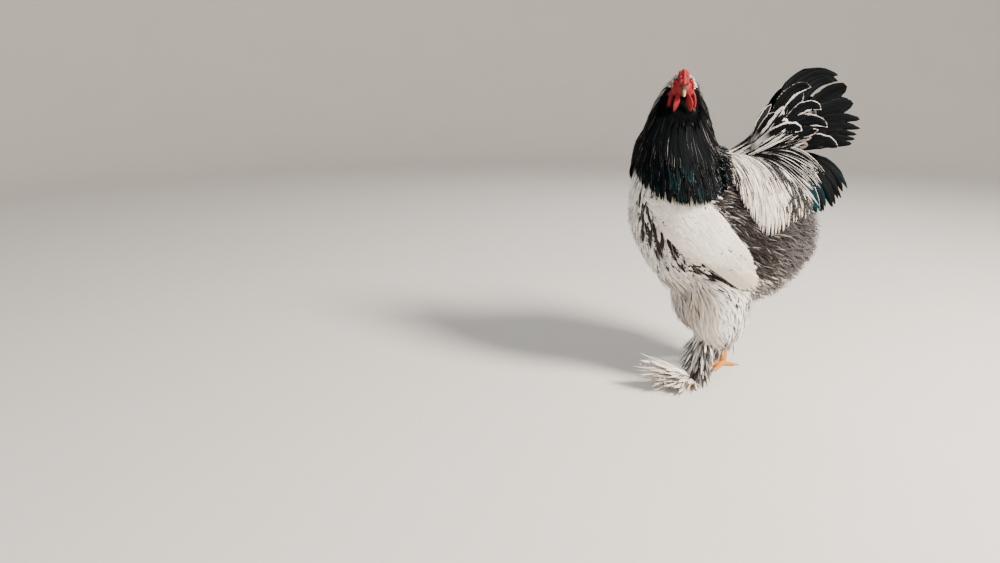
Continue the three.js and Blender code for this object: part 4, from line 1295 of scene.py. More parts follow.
    def colour(self, whole: Form, coarse: BVHTree) -> None:
        """Keeps at each vertex what covers it and its colour.

        Args:
            whole: the skin.
            coarse: the body's surface, where no bare skin is.
        """
        points = coordinates(whole)
        mesh = whole.data
        bare = Markings.bare(points).astype(float)
        for i in np.flatnonzero(bare):
            away = coarse.find_nearest(mesh.vertices[i].co, BODY_SEARCH)[3]
            bare[i] = not away or away > BODY_TOUCH
        low = 1 - ramp(points[:, 2], 62, 80)
        tint = Markings.ground(points)
        tint = mix(tint, Tone.RED.light, bare[:, None])
        tint = mix(tint, Tone.YELLOW.light, low[:, None])
        joint = low * (1 - plated(points[:, 2], SHANK_PLATE))
        coloured(mesh, "Tint", tint)
        coloured(mesh, "Habit", vec(bare, low, joint))

    def unwrap(self, whole: Form) -> None:
        """Unwraps the skin, and keeps what the feathers' roots need to find their place on it."""
        select(whole)
        mesh = whole.data
        for layer in list(mesh.uv_layers):
            mesh.uv_layers.remove(layer)
        mesh.uv_layers.new(name="OFBake")
        with editing():
            bpy.ops.uv.smart_project(angle_limit=math.radians(72), island_margin=0.002)
        self.points = coordinates(whole)
        mesh.calc_loop_triangles()
        self.triangles = gathered(mesh.loop_triangles, "vertices", 3, np.int32)
        loops = gathered(mesh.loop_triangles, "loops", 3, np.int32)
        self.map = gathered(mesh.uv_layers["OFBake"].data, "uv", 2, np.float32)[loops]
        self.tree = BVHTree.FromPolygons(self.points.tolist(), self.triangles.tolist())

    def nearest(self, points: Array) -> tuple[Array, Array, Array]:
        """The nearest places on the skin, the outward directions there, and their triangles."""
        found = [self.tree.find_nearest(p) for p in points.tolist()]
        place, way, which, _ = zip(*found)
        return np.array(place), np.array(way), np.array(which)

    def unwrapped(self, points: Array) -> Array:
        """Where points of the skin lie on its unwrap."""
        places, _, which = self.nearest(points)
        a, b, c = (self.points[self.triangles[which, k]] for k in range(3))
        ab, ac, ap = b - a, c - a, places - a
        d00, d01, d11 = np.sum(ab * ab, 1), np.sum(ab * ac, 1), np.sum(ac * ac, 1)
        d20, d21 = np.sum(ap * ab, 1), np.sum(ap * ac, 1)
        scale = np.maximum(d00 * d11 - d01 * d01, 1e-12)
        v, w = (d11 * d20 - d01 * d21) / scale, (d00 * d21 - d01 * d20) / scale
        v, w = np.clip(v, 0, 1)[:, None], np.clip(w, 0, 1)[:, None]
        uv = self.map[which]
        return uv[:, 0] * (1 - v - w) + uv[:, 1] * v + uv[:, 2] * w

    def roots(
        self, keep: Callable[[Array], Array], apart: float, rng: Chance
    ) -> tuple[Array, Array]:
        """Even, irregular places for roots on the skin.

        Args:
            keep: says which points may hold a root.
            apart: the least distance between two roots, in millimetres.
            rng: the source of what varies.

        Returns:
            The points and the outward directions there.
        """
        a, b, c = (self.points[self.triangles[:, k]] for k in range(3))
        cross = np.cross(b - a, c - a)
        area = np.linalg.norm(cross, axis=1) / 2
        weight = area * keep((a + b + c) / 3)
        total = weight.sum()
        count = int(total / (apart * apart) * 2.6)
        pick = rng.choice(len(area), count, p=weight / total)
        r1, r2 = np.sqrt(rng.random(count))[:, None], rng.random(count)[:, None]
        points = a[pick] * (1 - r1) + b[pick] * (r1 * (1 - r2)) + c[pick] * (r1 * r2)
        tree = KDTree(count)
        for i, p in enumerate(points.tolist()):
            tree.insert(p, i)
        tree.balance()
        taken = np.zeros(count, bool)
        out = np.zeros(count, bool)
        for i, p in enumerate(points.tolist()):
            if out[i]:
                continue
            taken[i] = True
            for _, j, _ in tree.find_range(p, apart):
                out[j] = True
        return points[taken], unit(cross[pick])[taken]


# ---------------------------------------------------------------------------- markings


class Markings:
    """The bird's colours by place, the same on both sides, for skin and coat alike."""

    @staticmethod
    def bare(points: Array) -> Array:
        """Which points of the head are bare red skin: the face, the comb, wattles and lobes."""
        local = in_head(points)
        near = np.linalg.norm(local, axis=-1) < 64
        crown = (local[..., 2] > 12.5) & (np.abs(local[..., 1]) > 11.5) & (local[..., 0] < 15)
        face = (local[..., 0] > -7) & (local[..., 2] > -18) & ~crown
        hanging = np.zeros(near.shape, bool)
        for side in (1, -1):
            for lobe in (WATTLE, EARLOBE):
                top, tip = lobe.line(side)
                t = np.clip((points - top) @ (tip - top) / np.sum((tip - top) ** 2), 0.1, 1)
                away = np.linalg.norm(points - top - t[..., None] * (tip - top), axis=-1)
                hanging |= away < lobe.wide * np.sin(np.pi * np.clip(t * 0.8 + 0.1, 0, 1)) + 0.8
        return near & (face | hanging)

    @staticmethod
    def ground(points: Array) -> Array:
        """The main colour at points of the bird."""
        x, y, z = np.abs(points[..., 0]), points[..., 1], points[..., 2]
        tone = np.broadcast_to(Tone.WHITE.light, points.shape).copy()
        outside, _, across = BIRD.wing_place(y, z)
        neck = ramp(z, 478, 500) * (1 - ramp(y, -78, -50))
        rump = ramp(y + 0.2 * (z - 330), -12, 20) * (1 - ramp(z, 440, 470))
        rump = rump * ramp(z, 150, 190)
        low = rump * (1 - ramp(z, 235, 300))
        behind = ramp(across, 46, 60) * (1 - ramp(y, 30, 95)) * ramp(z, 255, 300)
        behind = behind * (1 - ramp(z, 465, 495)) * ramp(outside, 0, 8)
        under = (1 - ramp(z, 215, 265)) * ramp(z, 180, 200) * (1 - ramp(x, 20, 60))
        for share, colour in ((under, Tone.ASH), (rump, Tone.SMOKE), (low * 0.7, Tone.ASH),
                              (behind, Tone.BROWN), (neck, Tone.BLACK)):
            tone = mix(tone, colour.light, share[..., None])
        return tone


# ---------------------------------------------------------------------------- coats


def varied(tone: Array, count: int, rng: Chance, amount: float = 0.06) -> Array:
    """One colour for each of several feathers, a little lighter or darker."""
    shift = 1 + rng.normal(0, amount, (count, 1))
    return np.clip(np.broadcast_to(tone, (count, 3)) * shift, 0, 1)


@dataclass
class Hackle:
    """The cape of long pointed feathers, black with fine silver edging, that replaces the neck."""

    tiers: int = 26
    spacing: float = 6.4
    seed: int = 11

    def roots(self, rng: Chance) -> tuple[Array, Array]:
        """Where the feathers start, as shares of the hackle's fall and angles round the neck."""
        starts, angles = [], []
        for tier in range(self.tiers):
            start = mix(0.0, 0.72, (tier / (self.tiers - 1)) ** 0.9)
            z = mix(BIRD.cape_top, 440, start)
            _, _, _, half, deep = BIRD.cape(np.array(z))
            count = int(math.pi * (half + deep) / self.spacing)
            degrees = 360 * (np.arange(count) + 0.5 * (tier % 2)) / count
            starts.append(start + rng.normal(0, 0.008, count))
            angles.append(degrees + rng.normal(0, 1.4, count))
        return np.clip(np.concatenate(starts), 0, 0.74), np.concatenate(angles)

    @staticmethod
    def look(start: Array, degrees: Array, rng: Chance) -> dict[str, Array]:
        """Colours: black with silver edges, a painted green sheen low in front, paler on crown and
        nape.
        """
        count = len(start)
        tint = varied(Tone.BLACK.light, count, rng, 0.15)
        front = 1 - ramp(turn_between(degrees, -28), 24, 78)
        low = ramp(start, 0.3, 0.6)
        # A painted green sheen, mixed into the colour of some feathers low on the front of the
        # neck.
        painted_sheen = 0.34 * (0.2 + front) * low * (rng.random(count) < 0.35) * rng.random(count)
        tint = mix(tint, Tone.PAINTED_GREEN_SHEEN.light, painted_sheen[:, None])
        back = 1 - ramp(turn_between(degrees, 90), 30, 75)
        edged = rng.random(count) < mix(0.7, 0.42, front) * mix(1, 0.6, low * (1 - back))
        lacing = np.where(edged, rng.uniform(0.24, 0.42, count), 0)
        bright = rng.random(count) ** 2 * mix(1, 0.6, front)
        mark = mix(Tone.SMOKE.light * 0.7, Tone.SILVER.light * 0.55, bright[:, None])
        crown = 1 - ramp(start, 0.02, 0.16)
        white = np.maximum(0.6 * back * low, 0.7 * crown)
        mark = mix(mark, Tone.WHITE.light * 0.9, white[:, None])
        return {"tint": tint, "mark": mark, "habit": vec(lacing, 0, 0)}

    def build(self, skin: Skin) -> Coat:
        """Lays the tiers from the crown down."""
        rng = np.random.default_rng(self.seed)
        start, degrees = self.roots(rng)
        count = len(start)
        reach = mix(0.09, 0.36, ramp(start, 0, 0.42)) * (1 + rng.normal(0, 0.09, count))
        reach = np.minimum(reach, 1.02 - start)
        off_face = turn_between(degrees, HEAD_YAW - 90)
        clear = ~((start < 0.34) & (off_face < 84 - 105 * start))
        start, degrees, reach = start[clear], degrees[clear], reach[clear]
        count = len(start)
        sweep = rng.normal(0, 2.2, count)[:, None]
        rise = rng.normal(0, 0.8, count)[:, None]

        def spot(t: Array, aside: Array) -> Array:
            """The hackle's surface under each feather."""
            share = start[:, None] + reach[:, None] * t
            z = mix(BIRD.cape_top, BIRD.hem_z(degrees[:, None]), share)
            _, _, _, wide, deep = columns(BIRD.cape(z))
            angle = degrees[:, None] + sweep * t + np.degrees(aside / ((wide + deep) / 2))
            flat = ramp(share, 0.6, 0.95) * ramp(angle, 40, 70) * ramp(-angle, -160, -130)
            return BIRD.hackle_point(share, angle, -10 + (13.2 - 6 * flat) * t ** 0.6 + rise * t)

        half = mix(2.2, 4.6, ramp(start, 0, 0.45)) * (1 + rng.normal(0, 0.1, count))
        middle = start + 0.5 * reach
        out = BIRD.hackle_point(middle, degrees, 30.0) - BIRD.hackle_point(middle, degrees, 0.0)
        coat = Coat("hackle", skin)
        coat.add(laid(spot, half, Outline.POINTED, 7, rng, out=out, arch=0.9,
                      **self.look(start, degrees, rng)))
        return coat


@dataclass
class Wing:
    """The folded wings: long flights, tiers of coverts and small shoulder feathers."""

    # The flights' ends from the lowest up: [order, root across, tip along, tip across].
    flights: Rows = (
        (0, -31, 266, -9), (1, -23, 275, -3), (2, -15, 281, 4), (3, -4, 276, 13),
        (4, 7, 266, 22), (5, 19, 253, 31), (6, 31, 237, 39), (7, 43, 219, 46), (8, 54, 200, 50),
    )
    # Coverts from the tip to the shoulder: [root along, length, low end, high end, half width].
    tiers: Rows = (
        (146, 84, 6, 50, 6.4), (131, 82, -2, 56, 6.8), (116, 80, -10, 62, 7.2),
        (101, 78, -20, 66, 7.6), (86, 74, -40, 66, 8.0), (70, 70, -40, 68, 8.0),
        (56, 62, -38, 66, 7.6), (43, 54, -34, 60, 7.2), (31, 46, -30, 54, 6.8),
        (20, 40, -26, 48, 6.4), (10, 34, -22, 40, 6.0), (1, 30, -18, 32, 5.6),
        (-6, 26, -12, 24, 5.2), (-11, 20, -10, 14, 5.0),
    )
    flight_count: int = 19
    seed: int = 23

    @staticmethod
    def lying(start: Array, end: Array, deep: Callable[[Array], Array]) -> Callable:
        """The wing's face under feathers that run from start to end, [along, across] each."""
        def spot(t: Array, aside: Array) -> Array:
            """The face under each feather."""
            along = mix(start[:, :1], end[:, :1], t)
            across = mix(start[:, 1:], end[:, 1:], t) + aside
            lift = np.maximum(BIRD.wing_top(along, across) - deep(t), 1.6)
            return BIRD.wing_point(along, across, lift)
        return spot

    def left(self, rng: Chance) -> list[Feathers]:
        """The left wing's feathers, from the flights up to the shoulder."""
        out = np.array((1.0, 0, 0))
        count = self.flight_count
        order = np.linspace(0, 8, count)
        _, root, tip_along, tip_across = columns(smooth_rows(self.flights)(order))
        start = vec(100 + 0 * order, root)
        ragged = rng.normal(0, 4, count) * ramp(order, 0, 1)
        end = vec(tip_along + 7 + ragged, tip_across + 4 * ramp(order, 2, 6))
        shallow = 2.4 - 0.1 * order[:, None]
        spot = self.lying(start, end, lambda t: mix(8.0, shallow, np.minimum(t * 1.7, 1)))
        tint = varied(Tone.CREAM.light, count, rng, 0.05)
        edge = np.where(order > 4.6, 0.56, mix(0.5, 0.3, order / 8))
        mark = mix(Tone.BROWN.light, Tone.TAN.light, ramp(order, 1, 3)[:, None])
        mark = np.where(order[:, None] > 4.6, Tone.BRONZE.light * 0.6, mark)
        habit = vec(edge, 0, 0.5 * (rng.random(count) < 0.3))
        groups = [laid(spot, np.full(count, 5.6), Outline.FLIGHT, 12, rng, out=out, arch=1.7,
                       thick=0.4, tint=tint, mark=mark, habit=habit)]
        for root, long, low, high, half in self.tiers:
            count = max(int((high - low) / (half * 0.95)), 4)
            share = (np.arange(count) + rng.uniform(0.3, 0.7, count)) / count
            across = mix(low, high, share)
            begin = root + rng.normal(0, 1.5, count) + 12 * np.sin(np.pi * share)
            start = vec(begin, across)
            rim = np.interp(across * 0.88, (-9, 13, 39, 50), (256, 262, 228, 192))
            reach = begin + long + rng.normal(0, 3, count)
            reach = np.minimum(reach, rim + rng.normal(0, 4, count))
            end = vec(reach, across * 0.88 + rng.normal(0, 1.2, count))
            tint = mix(varied(Tone.WHITE.light, count, rng, 0.05), Tone.CREAM.light,
                       rng.random((count, 1)))
            edge = ramp(share, 0.82, 0.97) * (root > 30) + ramp(share, 0.14, 0.0)
            spotted = np.where(rng.random(count) < 0.04 + 0.3 * edge, 0.55, 0)
            laced = (share > 0.8) * (root > 100) * (rng.random(count) < 0.75) * 0.5
            spot = self.lying(start, end, lambda t: mix(7.5, 1.2, t ** 0.8))
            groups.append(laid(spot, np.full(count, half), Outline.ROUNDED, 9, rng, out=out,
                               arch=1.9, tint=tint, mark=Tone.BRONZE.light * 0.6,
                               habit=vec(laced, 0, spotted), skew=0.2))
        return groups

    def build(self, skin: Skin) -> list[Coat]:
        """Makes both wings, the right one the left one's mirror image."""
        rng = np.random.default_rng(self.seed)
        left, right = Coat("wing_plumage_left", skin), Coat("wing_plumage_right", skin)
        for group in self.left(rng):
            left.add(group)
            right.add(group.mirrored())
        return [left, right]


@dataclass
class Saddle:
    """The long pointed feathers that fall from the back over both flanks."""

    tiers: int = 20
    in_tier: int = 46
    seed: int = 31

    def build(self, skin: Skin) -> Coat:
        """Lays the tiers on the left and mirrors them with other chances on the right."""
        coat = Coat("saddle_plumage", skin)
        for side, seed in ((1, self.seed), (-1, self.seed + 1)):
            rng = np.random.default_rng(seed)
            ys, roots = [], []
            for tier in range(self.tiers):
                share = mix(0.0, 0.52, tier / (self.tiers - 1))
                count = self.in_tier
                even = (np.arange(count) + 0.5 * (tier % 2) + 0.25) / count
                ys.append(mix(-84, 158, even) + rng.normal(0, 2, count))
                roots.append(share + rng.normal(0, 0.012, count))
            y, root = np.concatenate(ys), np.clip(np.concatenate(roots), 0, 0.54)
            drift = mix(46, 14, ramp(root, 0, 0.5)) * mix(1, 0.45, ramp(y, 70, 150))
            clear = y + drift * 0.5 > -80 + 75 * root
            y, root, drift = y[clear], root[clear], drift[clear]
            count = len(y)
            longer = 0.13 * ramp(y + drift, 118, 160) * rng.random(count)
            reach = np.minimum(0.5 * (1 + rng.normal(0, 0.1, count)), 0.99 - root) + longer
            drift = drift * (1 + rng.normal(0, 0.16, count))
            rise = rng.normal(0, 0.9, count)[:, None]

            def spot(t: Array, aside: Array) -> Array:
                """The saddle's face under each feather."""
                below = mix(9.5, 0.6, t ** 0.7) - rise * t
                swept = drift[:, None] * t * (1.5 - 0.5 * t)
                at_y = np.clip(y[:, None] + swept + aside, -60, 186)
                return BIRD.saddle_point(at_y, root[:, None] + reach[:, None] * t, below)

            middle = root + reach / 2
            out = BIRD.saddle_point(y, middle, -20.0) - BIRD.saddle_point(y, middle, 0.0)
            rear = ramp(y + drift + 60 * root, 84, 138)
            front = (1 - ramp(y + drift, -20, 22)) * 0.8
            ridge = (1 - ramp(root, 0.04, 0.26)) * ramp(y, -20, 50)
            dark = np.maximum(np.maximum(rear, front), ridge)
            half = mix(2.2, 3.2, ramp(root, 0, 0.4)) * (1 + rng.normal(0, 0.1, count))
            half = half + 1.6 * dark
            pale = mix(varied(Tone.WHITE.light, count, rng, 0.05), Tone.CREAM.light,
                       rng.random(count)[:, None])
            pale = mix(pale, Tone.TAN.light * 0.8, 0.7 * rng.random((count, 1)) ** 3)
            ink = varied(Tone.BLACK.light * 1.4, count, rng, 0.2)
            inked = (rng.random(count) < 0.06 + 0.76 * dark)[:, None]
            streak = np.where(rng.random(count) < mix(0.5, 0.9, dark),
                              mix(0.36, 0.66, dark) * (0.7 + 0.5 * rng.random(count)), 0)
            laced = mix(0.4, 0.2, dark) + 0.12 * rng.random(count)
            habit = np.where(inked, vec(laced, 0, 0), vec(0, streak, 0))
            feathers = laid(spot, half, Outline.POINTED, 8, rng, out=out, arch=1.1,
                            tint=np.where(inked, ink, pale), mark=np.where(inked, pale, ink),
                            habit=habit)
            coat.add(feathers if side > 0 else feathers.mirrored())
        return coat


@dataclass
class Tail:
    """The tail: broad main feathers in a fan, drooping sickles, and laced coverts at its root."""

    fan_root: tuple[float, float] = (96.0, 476.0)  # [y, z]
    # The main fan from the top down: [order, bend z, tip y, tip z, half width, stand-off].
    mains: Rows = (
        (0, 610, 245, 643, 19, 5), (1, 596, 259, 612, 17, 10), (2, 600, 280, 576, 10, 13),
        (3, 583, 282, 561, 6.5, 16), (4, 570, 273, 547, 6.5, 19), (5, 555, 268, 536, 6.5, 22),
        (6, 541, 260, 526, 8, 25),
    )
    # Sickles: [order, bend y, bend z, tip y, tip z, stand-off of the tip, half width].
    high_sickles: Rows = ((0, 86, 704, 220, 670, 5, 12), (1, 148, 679, 212, 652, 20, 11))
    low_sickles: Rows = (
        (2, 214, 524, 256, 436, 24, 10), (3, 200, 504, 238, 410, 36, 10),
        (4, 184, 488, 210, 394, 50, 10), (5, 166, 474, 180, 386, 72, 9),
    )
    # The striped feathers that sweep over the root of the low sickles, on the saddle's last rows:
    # [order, root y, root z, bend y, bend z, tip y, tip z, stand-off of the tip].
    sweep: Rows = (
        (0, 68, 518, 135, 544, 194, 476, 42), (1, 62, 514, 131, 538, 186, 456, 56),
        (2, 50, 510, 120, 522, 176, 436, 68), (3, 38, 506, 98, 510, 166, 414, 80),
        (4, 36, 500, 92, 495, 158, 396, 88),
    )
    # The cushion that rises from the back to the tail.
    cushion: Rows = (
        (0, -22, 502, 20, 510, 52, 534, 8), (1, -6, 503, 42, 514, 76, 556, 26),
        (2, 12, 502, 60, 520, 100, 562, 42), (3, 28, 500, 76, 524, 120, 554, 54),
        (4, 40, 496, 98, 518, 144, 536, 60),
    )
    # Coverts: [order, root y, root z, bend y, bend z, tip y, tip z, stand-off of the tip].
    coverts: Rows = (
        (0, 58, 502, 76, 560, 92, 616, 12), (1, 62, 502, 84, 592, 116, 646, 10),
        (2, 66, 500, 88, 572, 116, 602, 32), (3, 74, 500, 118, 604, 170, 590, 32),
        (4, 66, 496, 100, 566, 138, 556, 40), (5, 74, 496, 132, 580, 188, 560, 38),
        (6, 74, 490, 146, 548, 214, 520, 38),
    )
    # The outermost coverts one by one: [root y, root z, middle y, middle z, tip y, tip z,
    # stand-off, half width, lacing, paleness of the vane, pull of the lacing to one edge].
    laced: Rows = (
        (77, 537, 101, 615, 154, 646, 30, 13, 0.28, 0, -0.12),
        (103, 544, 120, 596, 136, 632, 34, 10, 0.24, 0, -0.12),
        (102, 537, 139, 585, 167, 590, 38, 9, 0.34, 0.1, 0),
        (92, 545, 131, 600, 173, 597, 42, 11.5, 0.3, 0, -0.06),
        (90, 538, 141, 574, 192, 564, 44, 11.5, 0.3, 0, -0.06),
        (82, 523, 123, 538, 160, 545, 43, 12, 0.2, 0.7, 0),
        (67, 520, 116, 527, 154, 527, 44, 11, 0.24, 0.6, 0),
        (108, 523, 160, 538, 219, 524, 46, 14, 0.24, 0, 0.1),
        (39, 527, 52, 550, 63, 583, 24, 7, 0.24, 0, 0),
        (46, 537, 54, 570, 73, 612, 30, 8, 0.34, 0.05, 0),
        (45, 538, 64, 571, 81, 594, 36, 9, 0.34, 0, 0),
        (53, 538, 78, 574, 96, 607, 40, 9, 0.28, 1, 0),
        (63, 534, 88, 567, 104, 576, 41, 8, 0.28, 1, 0),
        (55, 531, 96, 558, 135, 558, 48, 12.5, 0.42, 0, 0),
        (54, 524, 87, 533, 119, 542, 48, 9, 0.38, 0, 0),
    )
    seed: int = 47

    @staticmethod
    def drawn(
        root: Array, bend: Array, tip: Array, near: Array, far: Array, half: Array,
        outline: Outline, count: int, rng: Chance, **marks: object
    ) -> Feathers:
        """Curved feathers, each in the upright plane of its own side.

        Args:
            root: [y, z] where each feather starts.
            bend: [y, z] that its curve is drawn towards.
            tip: [y, z] where it ends.
            near: how far its root is from the middle plane.
            far: how far its tip is from it.
            half: its half width.
            outline: its shape.
            count: how many stations it has.
            rng: the source of what varies.
            marks: the other fields of Feathers.

        Returns:
            The feathers of the left side.
        """
        def curve(t: Array) -> Array:
            """Points on the shafts."""
            u, v, w = (1 - t) ** 2, 2 * t * (1 - t), t ** 2
            y, z = (u * root[:, k:k + 1] + v * bend[:, k:k + 1] + w * tip[:, k:k + 1]
                    for k in (0, 1))
            return vec(mix(near[:, None], far[:, None], t ** 0.8), y, z)

        def spot(t: Array, aside: Array) -> Array:
            """The plane of each feather."""
            ahead = curve(np.minimum(t + 0.02, 1)) - curve(np.minimum(t, 0.98))
            across = unit(vec(0, -ahead[..., 2], ahead[..., 1]))
            return curve(t) + across * aside[..., None] - vec(np.abs(aside) * 0.12, 0, 0)

        marks.setdefault("out", np.array((1.0, 0, 0)))
        return laid(spot, half, outline, count, rng, **marks)

    def build(self, skin: Skin) -> Coat:
        """Makes both sides of the tail."""
        coat = Coat("tail_plumage", skin)
        for side, seed in ((1, self.seed), (-1, self.seed + 1)):
            rng = np.random.default_rng(seed)
            groups = [self.main_fan(rng)]
            groups += self.sickles(rng)
            groups += self.tucked(rng)
            groups.append(self.outermost(side, rng))
            groups += self.striped(rng)
            for group in groups:
                coat.add(group if side > 0 else group.mirrored())
        return coat

    def main_fan(self, rng: Chance) -> Feathers:
        """One side's main feathers, with broad ones between them that close the fan."""
        order = np.concatenate((np.arange(7.0), np.arange(1.5, 6), np.arange(0.4, 2.0, 0.8)))
        filling = order % 1 != 0
        _, bend_z, y, z, half, far = columns(smooth_rows(self.mains)(order))
        number = len(order)
        y = y + rng.normal(0, 2, number) - mix(16, 36, ramp(order, 1, 2)) * filling
        tip = vec(y, z + rng.normal(0, 1.5, number))
        return self.drawn(
            np.tile(self.fan_root, (number, 1)), vec(145 + 0 * bend_z, bend_z), tip,
            3 + 2.4 * order, far - 1.5 * filling, np.where(filling, 14.0, half), Outline.MAIN, 16,
            rng, arch=1.4, thick=0.5, tint=varied(Tone.BLACK.light, number, rng, 0.3),
            mark=Tone.BROWN.light, habit=vec(np.where(filling, 0.12, 0.2), 0, 0))

    def sickles(self, rng: Chance) -> list[Feathers]:
        """One side's drooping sickles: a few high ones and a bunch of lower, narrower ones."""
        groups = []
        for rows, number in ((self.high_sickles, 4), (self.low_sickles, 24)):
            lower = rows is self.low_sickles
            order = np.linspace(rows[0][0], rows[-1][0], number)
            order, by, bz, ty, tz, far, half = columns(smooth_rows(rows)(order))
            by, bz, ty, tz = (a + rng.normal(0, 4, number) for a in (by, bz, ty, tz))
            if not lower:
                by[0], bz[0], ty[0], tz[0] = rows[0][1:5]
            # Some lower sickles get a painted green sheen mixed into their black.
            painted_sheen = lower * (rng.random((number, 1)) < 0.35) * rng.random((number, 1))
            tint = varied(Tone.BLACK.light, number, rng, 0.2)
            tint = mix(tint, Tone.PAINTED_GREEN_SHEEN.light, painted_sheen * 0.55)
            laced = lower * (rng.random(number) < 0.15) * 0.3
            groups.append(self.drawn(
                vec(92 + 0 * order, 506 - 3 * order), vec(by, bz), vec(ty, tz), 8 + 2 * order, far,
                half * (0.72 if lower else 1), Outline.SICKLE, 16, rng, arch=1.4, thick=0.45,
                tint=tint, mark=Tone.SILVER.light, habit=vec(laced, 0, 0)))
        return groups

    def tucked(self, rng: Chance) -> list[Feathers]:
        """One side's mostly black coverts, in three layers under the outermost ones."""
        groups = []
        for number, off, short, pale in ((13, 0, 1.0, 0.5), (11, 4, 0.8, 0.7), (11, 8, 0.6, 1)):
            order = np.linspace(0, 6, number) + rng.normal(0, 0.12, number)
            _, ry, rz, by, bz, ty, tz, far = columns(smooth_rows(self.coverts)(order))
            ty, tz = (a + rng.normal(0, 5, number) for a in (ty, tz))
            bend = vec(mix(ry, by, short), mix(rz, bz, short))
            tip = vec(mix(by, ty, short), mix(bz, tz, short))
            near = 16 + off + rng.normal(0, 1.5, number)
            half = rng.uniform(9.5, 12.5, number)
            mark = mix(Tone.WHITE.light * 0.8, Tone.ASH.light, rng.random((number, 1)))
            edged = rng.random(number) < 0.3 * pale
            lacing = np.where(edged, rng.uniform(0.24, 0.36, number), 0)
            groups.append(self.drawn(
                vec(ry, rz), bend, tip, near, far + off, half, Outline.COVERT, 12, rng, arch=1.6,
                tint=varied(Tone.BLACK.light, number, rng, 0.2), mark=mark,
                habit=vec(lacing, 0, 0)))
        return groups

    def outermost(self, side: int, rng: Chance) -> Feathers:
        """The outermost coverts, each with a shorter one close under it.

        Args:
            side: 1 for the left side, -1 for the right one, whose feathers lie further back.
            rng: the source of what varies.

        Returns:
            The feathers, as those of the left side.
        """
        rows = np.repeat(np.array(self.laced, float), 2, 0)
        number = len(rows)
        under = np.arange(number) % 2 == 0
        rows[:, :6] += rng.normal(0, 1.0 + 2.6 * under[:, None], (number, 6))
        rows[:, 0:6:2] += (side < 0) * 0.8 * rows[:, 6:7]
        root, middle, tip = rows[:, 0:2], rows[:, 2:4], rows[:, 4:6]
        far, half, lacing, pale, skew = rows[:, 6:].T
        low = root + 0.4 * (root - middle)
        bend = 2 * middle - (low + tip) / 2
        tip = np.where(under[:, None], mix(middle, tip, 0.8), tip)
        white = mix(Tone.ASH.light, Tone.WHITE.light, rng.random((number, 1)) ** 0.7)
        ink = varied(Tone.BLACK.light, number, rng, 0.2)
        grey = mix(Tone.ASH.light, white, (pale[:, None] > 0.9) * 0.8)
        streak = (pale > 0.5) * rng.uniform(0.3, 0.5, number)
        base = mix(Tone.SMOKE.light * 0.5, Tone.SILVER.light, 0.6 * rng.random((number, 1)) ** 1.4)
        tint = mix(ink, grey, np.minimum(pale, 1)[:, None])
        t, _ = Outline.COVERT.widths(14)
        begun = ramp(t[None] + rng.normal(0, 0.05, (number, 1)), 0.16, 0.26)
        tint = mix(base[:, None], tint[:, None], begun[..., None])
        return self.drawn(
            low, bend, tip, far - 14, far - 3 * under, half, Outline.COVERT, 14, rng,
            arch=1.8, tint=tint,
            mark=np.where(pale[:, None] > 0.5, ink, white),
            habit=vec(np.where(pale > 0.5, 0, lacing), streak, 0.3 * (pale > 0.5)), skew=skew)

    def striped(self, rng: Chance) -> list[Feathers]:
        """The narrow black and white feathers where the saddle runs up into the tail.

        Args:
            rng: the source of what varies.

        Returns:
            Those of the left side.
        """
        groups = []
        for rows, number, near in ((self.sweep, 60, 24), (self.cushion, 96, 4)):
            sweeping = rows is self.sweep
            order = rng.uniform(0, 4, number)
            _, ry, rz, by, bz, ty, tz, far = columns(smooth_rows(rows)(order))
            short = rng.uniform(0.62, 1.0, number)
            spread = rng.normal(0, 4, (4, number))
            inked = rng.random((number, 1)) < (0.64 if sweeping else 0.62)
            pale = mix(varied(Tone.WHITE.light, number, rng, 0.06), Tone.ASH.light,
                       0.9 * rng.random((number, 1)))
            ink = varied(Tone.BLACK.light * 1.3, number, rng, 0.2)
            laced = vec(rng.uniform(0.3, 0.5, number) - (0 if sweeping else 0.14), 0, 0)
            streaked = vec(0, rng.uniform(0.1, 0.6, number), 0.3)
            root = vec(ry + spread[0], rz)
            bend = vec(mix(ry, by, short) + spread[1], mix(rz, bz, short) + spread[1] / 2)
            tip = vec(mix(by, ty, short) + spread[2], mix(bz, tz, short) + spread[3])
            inset = near + (mix(30, 6, order / 4) if sweeping else order * 7)
            groups.append(self.drawn(
                root, bend, tip, inset + rng.normal(0, 3, number), far + rng.normal(0, 5, number),
                rng.uniform(2.8, 5.2, number), Outline.POINTED, 10, rng, arch=1.0,
                tint=np.where(inked, ink, pale), mark=np.where(inked, pale, ink),
                habit=np.where(inked, laced, streaked)))
        return groups


